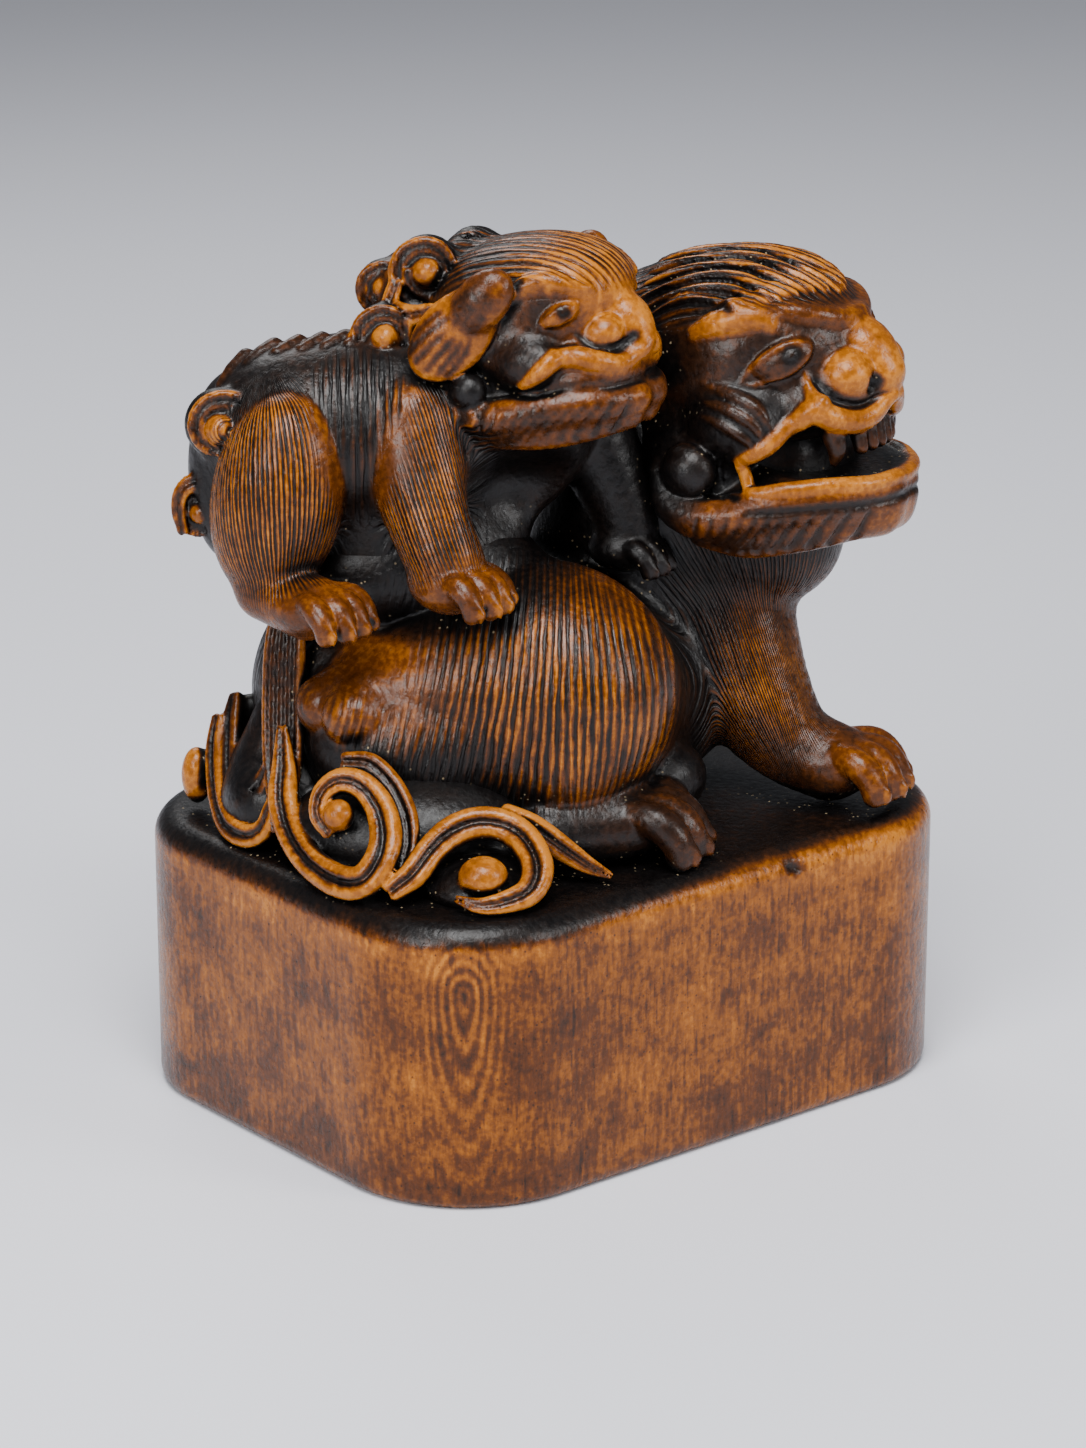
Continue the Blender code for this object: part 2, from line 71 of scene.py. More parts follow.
class Stain(Enum):
    """How far the dark stain is rubbed away from a form, from hardly at all to nearly all."""

    SOOT = 0.04
    DARK = 0.2
    BROWN = 0.42
    WARM = 0.66
    HONEY = 0.9


SOOT, DARK, BROWN, WARM, HONEY = Stain


@dataclass(frozen=True)
class Place:
    """A spot in the carving with its own forward, side and up directions."""

    origin: Array
    axes: Array

    def point(self, place: Array | tuple[float, ...]) -> Array:
        """The point in millimetres of a place given along this spot's directions."""
        return self.origin + np.asarray(place, float) @ self.axes

    def turned(self, turn: float, tilt: float) -> Array:
        """The directions turned about up, then raised at the front, in degrees.

        Args:
            turn: degrees from forward towards side.
            tilt: degrees that forward is raised by.

        Returns:
            Three rows: the turned forward, side and up.
        """
        forward, side, up = self.axes
        cosine, sine = math.cos(math.radians(turn)), math.sin(math.radians(turn))
        forward, side = cosine * forward + sine * side, cosine * side - sine * forward
        cosine, sine = math.cos(math.radians(tilt)), math.sin(math.radians(tilt))
        forward, up = cosine * forward + sine * up, cosine * up - sine * forward
        return np.array((forward, side, up))

    def facing(self, origin: Triple, turn: float, tilt: float = 0.0) -> "Place":
        """A spot at `origin` whose directions are turned and raised from these."""
        return Place(self.point(origin), self.turned(turn, tilt))

    def halves(self) -> tuple["Place", "Place"]:
        """This spot, and its mirror image across the plane of its forward and up directions."""
        return self, Place(self.origin, self.axes * np.array((1.0, -1.0, 1.0))[:, None])


@dataclass(frozen=True)
class Block:
    """Sizes of the block that the figure stands on."""

    length: float = 34.0
    width: float = 27.2
    height: float = 13.85
    corner_radius: float = 6.9
    top_edge_radius: float = 1.3
    foot_edge_radius: float = 0.6
    cord_hole_diameter: float = 3.4
    cord_hole_spacing: float = 9.0
    cord_hole_height: float = 7.0
    cord_tunnel_depth: float = 5.0


BLOCK = Block()
WORLD = Place(np.zeros(3), np.eye(3))

# The show side faces the camera, turned this far from the block's long side
SHOW_SIDE_TURN = math.radians(39.28)
ALONG_BLOCK = Place(np.array((0.0, 0.0, BLOCK.height)),
                    np.array(((1.0, 0.0, 0.0), (0.0, -1.0, 0.0), (0.0, 0.0, 1.0))))
SHOW = Place(ALONG_BLOCK.origin, np.array((
    (math.cos(SHOW_SIDE_TURN), -math.sin(SHOW_SIDE_TURN), 0.0),
    (-math.sin(SHOW_SIDE_TURN), -math.cos(SHOW_SIDE_TURN), 0.0), (0.0, 0.0, 1.0))))
FAR_SHOW = Place(SHOW.origin, SHOW.axes * np.array((1.0, -1.0, 1.0)))
PARENT_HEAD = SHOW.facing((9.6, -2.5, 20.44), 28.0, 8.0)
CUB_HEAD = SHOW.facing((-0.46, 3.0, 23.67), 28.0, 8.0)


def smooth_path(stations: list[Station], steps: int = 4) -> Array:
    """A Catmull-Rom curve through stations.

    Between two stations it is the cubic whose end slopes are half the way between the neighbours.

    Args:
        stations: places with a radius each.
        steps: points that the curve gets from one station to the next.

    Returns:
        A row of place and radius for each point.
    """
    knots = np.array(stations, float)
    knots = np.vstack((2.0 * knots[0] - knots[1], knots, 2.0 * knots[-1] - knots[-2]))
    before, start, end, after = knots[:-3], knots[1:-2], knots[2:-1], knots[3:]
    share = (np.arange(steps) / steps)[None, :, None]
    before, start, end, after = (part[:, None, :] for part in (before, start, end, after))
    curve = 0.5 * (2.0 * start + (end - before) * share
                   + (2.0 * before - 5.0 * start + 4.0 * end - after) * share ** 2
                   + (3.0 * start - before - 3.0 * end + after) * share ** 3)
    return np.vstack((curve.reshape(-1, knots.shape[1]), knots[-2]))


class Clay:
    """A box of wood as a field: its distance to the skin, below zero inside, and its stain."""

    def __init__(self, low: tuple[float, ...], high: tuple[float, ...], grain: float) -> None:
        """Start with air. `grain` is the spacing of the samples."""
        self.low, self.grain = np.array(low, float), grain
        counts = np.ceil((np.array(high) - self.low) / grain).astype(int) + 1
        self.depth = np.full(counts, FAR, np.float32)
        self.stain = np.full(counts, DARK.value, np.float32)

    def window(self, low: Array, high: Array) -> tuple[tuple[slice, ...], list[Array]] | None:
        """The samples between two corners.

        Args:
            low: the corner with the lesser coordinates.
            high: the corner opposite.

        Returns:
            Their slices and their three open coordinate arrays, or None when the box holds none of them.
        """
        first = np.maximum(np.floor((low - self.low) / self.grain).astype(int), 0)
        last = np.minimum(np.ceil((high - self.low) / self.grain).astype(int) + 1, self.depth.shape)
        if np.any(last - first < 2):
            return None
        grids = [(self.low[axis] + self.grain * np.arange(first[axis], last[axis])).astype(np.float32)
                 for axis in range(3)]
        shaped = [grids[0][:, None, None], grids[1][None, :, None], grids[2][None, None, :]]
        return tuple(slice(a, b) for a, b in zip(first, last)), shaped

    def run_in(self, where: tuple[slice, ...], distance: Array, blend: float, stain: float,
               cut: bool) -> None:
        """Join a form to the field, or cut it away, with a fillet about `blend` wide.

        The joined distance is the lesser of the two, rounded off where they are nearly equal.

        Args:
            where: the slices of the samples.
            distance: the form's distance at each of them.
            blend: width of the fillet.
            stain: the form's stain, one when it is rubbed away.
            cut: whether the form is cut away.
        """
        old = self.depth[where]
        sign = np.float32(-1.0 if cut else 1.0)
        share = np.clip(0.5 + 0.5 * (sign * old - distance) / blend, 0.0, 1.0)
        mixed = sign * old * (1.0 - share) + distance * share - blend * share * (1.0 - share)
        self.depth[where] = sign * mixed
        self.stain[where] += share * (stain - self.stain[where])

    def ellipsoid(self, place: Place, centre: Triple, radii: Triple, angles: tuple[float, float],
                  margin: float) -> tuple[tuple[slice, ...], Array, Array] | None:
        """The scaled radius k of an ellipsoid, one on its skin, near it.

        Args:
            place: the spot whose directions the ellipsoid uses.
            centre: its middle.
            radii: its radii forward, to the side and up.
            angles: its turn and tilt.
            margin: how far outside it k is wanted.

        Returns:
            The samples' slices, k and the slope of k, or None when there are none.
        """
        middle, axes = place.point(centre), place.turned(*angles)
        reach = np.sqrt(((axes * np.array(radii)[:, None]) ** 2).sum(0)) + margin
        found = self.window(middle - reach, middle + reach)
        if found is None:
            return None
        where, grids = found
        offsets = [grid - np.float32(value) for grid, value in zip(grids, middle)]
        scaled = slope = 0.0
        for axis, radius in zip(axes.astype(np.float32), radii):
            share = (axis[0] * offsets[0] + axis[1] * offsets[1] + axis[2] * offsets[2]) / np.float32(radius)
            scaled = scaled + share * share
            slope = slope + (share / np.float32(radius)) ** 2
        return where, np.sqrt(scaled), np.sqrt(slope)

    def egg(self, place: Place, centre: Triple, radii: Triple, turn: float = 0.0, tilt: float = 0.0,
            blend: float = 0.5, stain: Stain = DARK, cut: bool = False) -> None:
        """An ellipsoid. Its distance is k(k - 1) / g, k the scaled radius and g the slope of k.

        Args:
            place: the spot whose directions the form uses.
            centre: its middle.
            radii: its radii forward, to the side and up.
            turn: degrees from forward towards side.
            tilt: degrees that its front is raised by.
            blend: width of the fillet round it.
            stain: how far the stain is rubbed from it.
            cut: whether it is cut away.
        """
        found = self.ellipsoid(place, centre, radii, (turn, tilt), FAR * 0.5 + blend)
        if found is not None:
            where, scaled, slope = found
            self.run_in(where, scaled * (scaled - 1.0) / np.maximum(slope, 1e-5), blend, stain.value, cut)

    def dye(self, place: Place, centre: Triple, radii: Triple, stain: Stain, tilt: float = 0.0,
            soft: float = 0.4) -> None:
        """Change the stain inside an ellipsoid, and leave its shape.

        Args:
            place: the spot whose directions the ellipsoid uses.
            centre: its middle.
            radii: its radii forward, to the side and up.
            stain: how far the stain is rubbed away in its middle.
            tilt: degrees that its front is raised by.
            soft: the outer share of its radii over which the change fades.
        """
        found = self.ellipsoid(place, centre, radii, (0.0, tilt), 0.0)
        if found is not None:
            where, scaled, _ = found
            share = np.clip((1.0 - scaled) / soft, 0.0, 1.0)
            self.stain[where] += share * (stain.value - self.stain[where])

    def rope(self, points: Array, radii: Array, blend: float = 0.4, stain: Stain = DARK,
             cut: bool = False) -> None:
        """A round rope along a polyline in millimetres.

        Its distance is the least over the straight stretches of the distance to the nearest point of the
        stretch, less the radius there.

        Args:
            points: the corners of the polyline.
            radii: the rope's radius at each corner.
            blend: width of the fillet along it.
            stain: how far the stain is rubbed from it.
            cut: whether it is cut away.
        """
        reach = radii.max() + FAR * 0.5 + blend
        found = self.window(points.min(0) - reach, points.max(0) + reach)
        if found is None:
            return
        where = found[0]
        distance = np.full([part.stop - part.start for part in where], FAR * 1.5, np.float32)
        corner = np.array([part.start for part in where])
        for start, end, first, last in zip(points[:-1], points[1:], radii[:-1], radii[1:]):
            margin = max(first, last) + FAR * 0.5 + blend
            inner = self.window(np.minimum(start, end) - margin, np.maximum(start, end) + margin)
            if inner is None:
                continue
            part, part_grids = inner
            offsets = [grid - np.float32(value) for grid, value in zip(part_grids, start)]
            line = (end - start).astype(np.float32)
            share = line[0] * offsets[0] + line[1] * offsets[1] + line[2] * offsets[2]
            share = np.clip(share / max(float(line @ line), 1e-9), 0.0, 1.0)
            square = sum((offset - share * value) ** 2 for offset, value in zip(offsets, line))
            stretch = np.sqrt(square) - (np.float32(first) + share * np.float32(last - first))
            local = tuple(slice(s.start - c, s.stop - c) for s, c in zip(part, corner))
            distance[local] = np.minimum(distance[local], stretch)
        self.run_in(where, distance, blend, stain.value, cut)

    def limb(self, place: Place, stations: list[Station], blend: float = 0.4, stain: Stain = DARK,
             cut: bool = False, steps: int = 4) -> None:
        """A round limb along a smooth path, its radius changing from station to station."""
        path = smooth_path(stations, steps)
        self.rope(place.point(path[:, :3]), path[:, 3], blend, stain, cut)

    def lock(self, place: Place, stations: list[Station], facing: Triple, strands: int = 2,
             stain: Stain = HONEY, steps: int = 4) -> None:
        """A flat lock of hair: round strands side by side along one path, with dark cuts between them.

        Each strand lies off the path by its share of the width, at right angles to the path and to `facing`.

        Args:
            place: the spot whose directions the stations use.
            stations: the lock's path, with half its width at each place.
            facing: the direction that the flat side of the lock faces.
            strands: how many strands it has.
            stain: how far the stain is rubbed from them.
            steps: points between two stations.
        """
        path = smooth_path(stations, steps)
        side = np.cross(np.gradient(path[:, :3], axis=0), np.array(facing, float))
        side /= np.linalg.norm(side, axis=1, keepdims=True)
        out = np.array(facing, float) / np.linalg.norm(facing)
        wide = path[:, 3:]
        for strand in range(strands):
            off = (2.0 * strand + 1.0) / strands - 1.0
            self.rope(place.point(path[:, :3] + side * (0.9 * off * wide)), 1.16 * path[:, 3] / strands, 0.05,
                      stain)
        for cut in range(1, strands):
            off = 2.0 * cut / strands - 1.0
            line = path[:, :3] + side * (0.9 * off * wide) + out * (0.95 * wide / strands)
            self.rope(place.point(line), 0.22 * path[:, 3] / strands + 0.05, 0.05, SOOT, cut=True)

    def settle(self, points: Array, lift: Array) -> Array:
        """Bring points to the skin by stepping down the slope of the distance.

        Args:
            points: the points.
            lift: how far outside the skin they come to lie.

        Returns:
            The points there.
        """
        for _ in range(6):
            depth = np.clip(self.sample(self.depth, points) - lift, -0.8, 0.8)
            points = points - self.normals(points) * depth[:, None]
        return points

    def stroke(self, place: Place, stations: list[Station], rise: float = 0.5, blend: float = 0.12,
               stain: Stain = DARK, cut: bool = False, steps: int = 4) -> None:
        """A ridge laid on the skin, or with `cut` a groove let into it.

        Args:
            place: the spot whose directions the stations use.
            stations: a path near the skin, with the stroke's radii.
            rise: the share of the radius that stands out of the skin, or sinks into it.
            blend: width of the fillet.
            stain: how dark the stroke is stained.
            cut: whether it is a groove.
            steps: points between two stations.
        """
        path = smooth_path(stations, steps)
        radii = np.maximum(path[:, 3], 0.02)
        lift = radii * (1.0 - rise) * (1.0 if cut else -1.0)
        self.rope(self.settle(place.point(path[:, :3]), lift), radii, blend, stain, cut)

    def sample(self, values: Array, points: Array) -> Array:
        """Read a field at any points by weighing the eight samples round each.

        Args:
            values: the field, `depth` or `stain`.
            points: the points.

        Returns:
            A value for each point, and FAR for one outside the box.
        """
        spot = (points - self.low) / self.grain
        limit = np.array(values.shape) - 1
        inside = np.all((spot >= 0) & (spot <= limit), axis=1)
        spot = np.clip(spot, 0, limit - 1e-4)
        base = spot.astype(np.int64)
        share = (spot - base).astype(np.float32)
        strides = np.array((values.shape[1] * values.shape[2], values.shape[2], 1))
        flat_values, start = values.ravel(), base @ strides
        total = np.zeros(len(points), np.float32)
        for corner in range(8):
            bits = np.array((corner >> 2 & 1, corner >> 1 & 1, corner & 1))
            weight = np.prod(np.where(bits, share, 1.0 - share), axis=1)
            total += weight * flat_values[start + int(bits @ strides)]
        return np.where(inside, total, np.float32(FAR))

    def normals(self, points: Array) -> Array:
        """Unit directions in which the distance grows, by central differences."""
        steps = np.eye(3) * self.grain
        slope = np.stack([self.sample(self.depth, points + step) - self.sample(self.depth, points - step)
                          for step in steps], axis=1)
        return slope / np.maximum(np.linalg.norm(slope, axis=1, keepdims=True), 1e-6)

    def skin(self) -> tuple[Array, Array]:
        """The surface where the distance is zero.

        Each cell that the skin passes through gets one point, the mean of the places where the skin cuts the
        cell's edges, and each cut edge gets a four-sided face between its four cells.

        Returns:
            The points and the faces, wound to face out.
        """
        inside = self.depth < 0.0
        shape = np.array(inside.shape)
        cells = shape - 1
        count = np.zeros(cells, np.int8)
        for corner in range(8):
            x, y, z = corner >> 2 & 1, corner >> 1 & 1, corner & 1
            count += inside[x:x + cells[0], y:y + cells[1], z:z + cells[2]]
        active = np.argwhere((count > 0) & (count < 8))
        number = np.full(cells, -1, np.int32)
        number[tuple(active.T)] = np.arange(len(active))
        total, cuts = np.zeros((len(active), 3)), np.zeros(len(active))
        for axis in range(3):
            others = [other for other in range(3) if other != axis]
            for first in (0, 1):
                for second in (0, 1):
                    near = active.copy()
                    near[:, others[0]] += first
                    near[:, others[1]] += second
                    far = near.copy()
                    far[:, axis] += 1
                    a, b = self.depth[tuple(near.T)], self.depth[tuple(far.T)]
                    crossed = (a < 0.0) != (b < 0.0)
                    share = np.where(crossed, a / np.where(crossed, a - b, 1.0), 0.0)
                    spot = near.astype(float)
                    spot[:, axis] += share
                    total += spot * crossed[:, None]
                    cuts += crossed
        points = self.low + self.grain * total / cuts[:, None]
        faces = []
        for axis in range(3):
            others = [(axis + 1) % 3, (axis + 2) % 3]
            head, tail = [slice(None)] * 3, [slice(None)] * 3
            head[axis], tail[axis] = slice(1, None), slice(None, -1)
            crossed = inside[tuple(head)] != inside[tuple(tail)]
            spots = np.argwhere(crossed)
            good = np.all(spots[:, others] > 0, axis=1) & np.all(spots[:, others] < cells[others], axis=1)
            spots = spots[good]
            ring = []
            for first, second in ((-1, -1), (0, -1), (0, 0), (-1, 0)):
                cell = spots.copy()
                cell[:, others[0]] += first
                cell[:, others[1]] += second
                ring.append(number[tuple(cell.T)])
            quads = np.stack(ring, axis=1)
            solid_first = inside[tuple(spots.T)]
            quads[~solid_first] = quads[~solid_first][:, ::-1]
            faces.append(quads)
        return points, np.vstack(faces)


class Lay(Enum):
    """How a patch of cut hair runs."""

    DOWN = "down from a ridge, fanned round its two ends"
    ALONG = "along a limb, all round it"
    STRAIGHT = "straight, side by side"
    SWEEP = "down, and past a middle line in arcs that close in above and below"


@dataclass(frozen=True)
class Pelt:
    """A patch of hair cut with a fine tool: where it is, how it runs and how far it spreads."""

    lay: Lay
    place: Place
    centre: Triple
    radii: Triple
    start: Triple
    end: Triple

    def weight(self, points: Array) -> Array:
        """One inside the patch's ellipsoid, fading to nothing over its outer quarter."""
        share = (points - self.place.point(self.centre)) @ self.place.axes.T / np.array(self.radii)
        return np.clip((1.0 - np.linalg.norm(share, axis=1)) * 4.0, 0.0, 1.0)

    def strands(self, points: Array) -> tuple[Array, Array]:
        """Millimetres across the hairs and along them, at each point.

        DOWN unrolls a capsule round the line start to end, seen from above, and the hairs run in height.
        ALONG takes the angle round the line, times one mean radius, and the hairs run with the line.
        STRAIGHT runs with the line. SWEEP takes the distance right of the start, leaned on the left, and on
        the right divided by the width that a globe round the start has at the point's height.

        Args:
            points: the points.

        Returns:
            The distances across and the distances along.
        """
        start, end = self.place.point(self.start), self.place.point(self.end)
        line = end - start
        length = float(np.linalg.norm(line))
        line = line / length
        offset = points - start
        if self.lay is Lay.SWEEP:
            right, _, up = (offset @ np.linalg.inv(self.place.axes)).T
            globe = np.sqrt(np.maximum(1.0 - (up / self.radii[2]) ** 2, 0.12))
            leaned = right - 0.25 * up * (1.0 - np.exp(np.minimum(right, 0.0) / 4.0))
            return np.where(right > 0.0, right / globe, leaned), up
        if self.lay is Lay.DOWN:
            flat = np.array((line[0], line[1], 0.0))
            flat /= np.linalg.norm(flat)
            out = np.array((flat[1], -flat[0], 0.0))
            along, side = offset @ flat, offset @ out
            past = np.where(along > length, along - length, np.minimum(along, 0.0))
            radius = np.maximum(np.hypot(past, side), 1e-3)
            bend = np.arctan2(past, np.abs(side)) * np.clip(radius, 2.0, 6.0)
            return np.clip(along, 0.0, length) + bend, offset[:, 2]
        along = offset @ line
        away = offset - along[:, None] * line
        helper = np.array((0.0, 0.0, 1.0)) if abs(line[2]) < 0.8 else np.array((1.0, 0.0, 0.0))
        first = np.cross(line, helper)
        first /= np.linalg.norm(first)
        second = np.cross(line, first)
        if self.lay is Lay.ALONG:
            angle = np.arctan2(away @ first, away @ second)
            mean = float(np.mean(np.linalg.norm(away, axis=1)))
            return angle * min(mean, max(self.radii)), along
        return away @ first + 0.35 * (away @ second), along


@dataclass
class Carving:
    """One stretch of the netsuke's surface: a field with its forms, and the mesh of its skin.

    `low` and `high` are the corners of the field and `grain` is the spacing of its samples. Under the hair
    of the pelts the skin is furrowed into tufts.
    """

    name: str
    low: Triple
    high: Triple
    grain: float
    pelts: list[Pelt] = field(default_factory=list)
    tuft_depth: float = 0.05
    tuft_pitch: float = 0.66

    def __post_init__(self) -> None:
        """Start the field and shape it."""
        self.clay = Clay(self.low, self.high, self.grain)
        self.shape()

    def shape(self) -> None:
        """Work the forms into the field."""
        raise NotImplementedError

    def hair(self, points: Array) -> Array:
        """The hair at each point, taken from the strongest patch there and weakened by the next one.

        Args:
            points: the points.

        Returns:
            A row of distance across, distance along and strength for each point.
        """
        best, second = np.zeros(len(points)), np.zeros(len(points))
        made = np.zeros((len(points), 3))
        for pelt in self.pelts:
            weight = pelt.weight(points)
            across, along = pelt.strands(points)
            wins = weight > best
            second = np.where(wins, best, np.maximum(second, weight))
            best = np.where(wins, weight, best)
            made[wins, 0], made[wins, 1] = across[wins], along[wins]
        made[:, 2] = best - second
        return made

    def finish_and_shade(self, points: Array, normals: Array, others: list[Clay]) -> Array:
        """How the wood is stained, hollow and worn at each point of the skin.

        Hollow grows where wood stands close outside the skin, wear where the wood behind the skin is thin.
        The hollow stands partly for the stain kept in the cuts and partly for painted shade in recesses and
        between parts.

        Args:
            points: the points.
            normals: the directions that lead out of the skin there.
            others: the fields of all the carvings.

        Returns:
            A row of stain, hollow and wear for each point.
        """
        hollow = np.zeros(len(points))
        for reach, share in HOLLOW_PROBES:
            probe = points + normals * reach
            distance = np.min([clay.sample(clay.depth, probe) for clay in others], axis=0)
            hollow += share * np.clip((reach - distance) / reach, 0.0, 1.5)
        wear = np.zeros(len(points))
        for reach, share in WEAR_PROBES:
            within = self.clay.sample(self.clay.depth, points - normals * reach)
            wear += share * np.clip((reach + within) / reach, 0.0, 1.0)
        stain = self.clay.sample(self.clay.stain, points - normals * STAIN_DEPTH)
        return np.stack((stain, hollow, wear), axis=1)

    def build(self, others: list[Clay], slot: str, material: bpy.types.Material) -> bpy.types.Object:
        """Make the mesh of the skin, with its hair, its stain and wear, and its painted shade as attributes.

        Args:
            others: the fields of all the carvings, which tell where the wood is hollow.
            slot: a material slot's name, which is not used.
            material: the shader of the wood.

        Returns:
            The mesh object, placed by its vertices.
        """
        points, faces = self.clay.skin()
        normals = self.clay.normals(points)
        hair = self.hair(points)
        wave = np.abs(np.sin(math.pi * (hair[:, 0] / self.tuft_pitch + 0.12 * np.sin(hair[:, 1] * 2.1))))
        points = points - normals * (self.tuft_depth * hair[:, 2] * (1.0 - wave))[:, None]
        finish_and_shade = self.finish_and_shade(points, normals, others)
        mesh = bpy.data.meshes.new(self.name)
        mesh.vertices.add(len(points))
        mesh.vertices.foreach_set("co", (points * MM).astype(np.float32).ravel())
        mesh.loops.add(4 * len(faces))
        mesh.loops.foreach_set("vertex_index", faces.astype(np.int32).ravel())
        mesh.polygons.add(len(faces))
        mesh.polygons.foreach_set("loop_start", np.arange(0, 4 * len(faces), 4, dtype=np.int32))
        mesh.update(calc_edges=True)
        mesh.validate()
        for title, values in (("hair", hair), ("finish_and_shade", finish_and_shade)):
            layer = mesh.attributes.new(title, "FLOAT_VECTOR", "POINT")
            layer.data.foreach_set("vector", values.astype(np.float32).ravel())
        mesh.shade_smooth()
        mesh.materials.append(material)
        piece = bpy.data.objects.new(self.name, mesh)
        bpy.context.scene.collection.objects.link(piece)
        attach(piece, "root")
        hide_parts("netsuke")
        LOG.info("%s: %d points, %d triangles", self.name, len(points), 2 * len(faces))
        return piece


@dataclass
class BlockCarving(Carving):
    """The rounded block under the figure, with its cord holes.

    Its top is stained down to `stain_drop` below the edge on the left, and `stain_rise` higher on the right.
    """

    name: str = "netsuke_block"
    low: Triple = (-17.6, -14.2, -0.6)
    high: Triple = (17.6, 14.2, 14.4)
    grain: float = 0.2
    block: Block = BLOCK
    stain_drop: float = 1.2
    stain_rise: float = 0.75
    stain_fade: float = 0.45

    def shape(self) -> None:
        """A rounded rectangle in plan, a slab in height, and the edge between them rounded.

        The plan distance and the height distance are joined as the two legs of a corner of the edge's radius.
        """
        clay, size = self.clay, self.block
        where, (x, y, z) = clay.window(np.array(self.low), np.array(self.high))
        legs = [np.abs(grid) - np.float32(whole / 2.0 - size.corner_radius)
                for grid, whole in ((x, size.length), (y, size.width))]
        plan = (np.sqrt(np.maximum(legs[0], 0.0) ** 2 + np.maximum(legs[1], 0.0) ** 2)
                + np.minimum(np.maximum(legs[0], legs[1]), 0.0) - np.float32(size.corner_radius))
        middle = size.height / 2.0
        edge = np.where(z > middle, np.float32(size.top_edge_radius), np.float32(size.foot_edge_radius))
        first, second = plan + edge, np.abs(z - middle) - np.float32(middle) + edge
        distance = (np.sqrt(np.maximum(first, 0.0) ** 2 + np.maximum(second, 0.0) ** 2)
                    + np.minimum(np.maximum(first, second), 0.0) - edge)
        clay.run_in(where, distance.astype(np.float32), 0.01, WARM.value, False)
        rim = size.height - self.stain_drop + self.stain_rise * np.clip((x + 10.0) / 12.0, 0.0, 1.0)
        level = np.clip((z - rim) / self.stain_fade, 0.0, 1.0)
        clay.stain[where] += level * (SOOT.value - clay.stain[where])
        self.cord_tunnel()
        nick = (4.1, -size.width / 2.0, size.height - 0.9)
        clay.egg(WORLD, nick, (0.2, 0.35, 0.55), tilt=70.0, blend=0.1, stain=SOOT, cut=True)

    def cord_tunnel(self) -> None:
        """Drill the cord's tunnel, a half ring that opens twice in the far long side."""
        size = self.block
        wall, half, radius = size.width / 2.0, size.cord_hole_spacing / 2.0, size.cord_hole_diameter / 2.0
        level, shoulder = size.cord_hole_height, wall - 0.4 * size.cord_tunnel_depth
        self.clay.limb(WORLD, [
            (-half, wall + 1.5, level, radius), (-0.95 * half, shoulder, level, radius),
            (0.0, wall - size.cord_tunnel_depth, level, radius), (0.95 * half, shoulder, level, radius),
            (half, wall + 1.5, level, radius)], blend=0.3, cut=True, steps=6)


def paw(clay: Clay, place: Place, centre: Triple, turn: float, size: float, stain: Stain) -> None:
    """A paw: a low pad, and four thick toes fanned from it, each with a knuckle and a claw folded under.

    Args:
        clay: the field.
        place: the spot whose directions the paw uses.
        centre: the middle of the paw.
        turn: degrees that its toes point from forward towards side.
        size: its size, one for a pad 4.4 mm long.
        stain: how far the stain is rubbed from it.
    """
    foot = place.facing(centre, turn)
    clay.egg(foot, (-0.9 * size, 0.0, 0.2), (2.2 * size, 1.9 * size, 1.35 * size), stain=stain)
    for toe in range(4):
        across = (toe - 1.5) * 1.0 * size
        reach = (1.5 - 0.2 * (toe - 1.5) ** 2) * size
        clay.limb(foot, [
            (-0.6 * size, 0.7 * across, 0.75 * size, 0.55 * size),
            (reach - 0.5 * size, across, 0.62 * size, 0.66 * size),
            (reach + 0.25 * size, 1.08 * across, -0.05 * size, 0.62 * size),
            (reach + 0.4 * size, 1.1 * across, -0.7 * size, 0.5 * size)], blend=0.12, stain=stain)
        clay.limb(foot, [
            (reach + 0.55 * size, 1.1 * across, -0.1 * size, 0.3 * size),
            (reach + 0.98 * size, 1.12 * across, -0.55 * size, 0.22 * size),
            (reach + 0.95 * size, 1.12 * across, -1.0 * size, 0.1 * size)], blend=0.06, stain=stain)


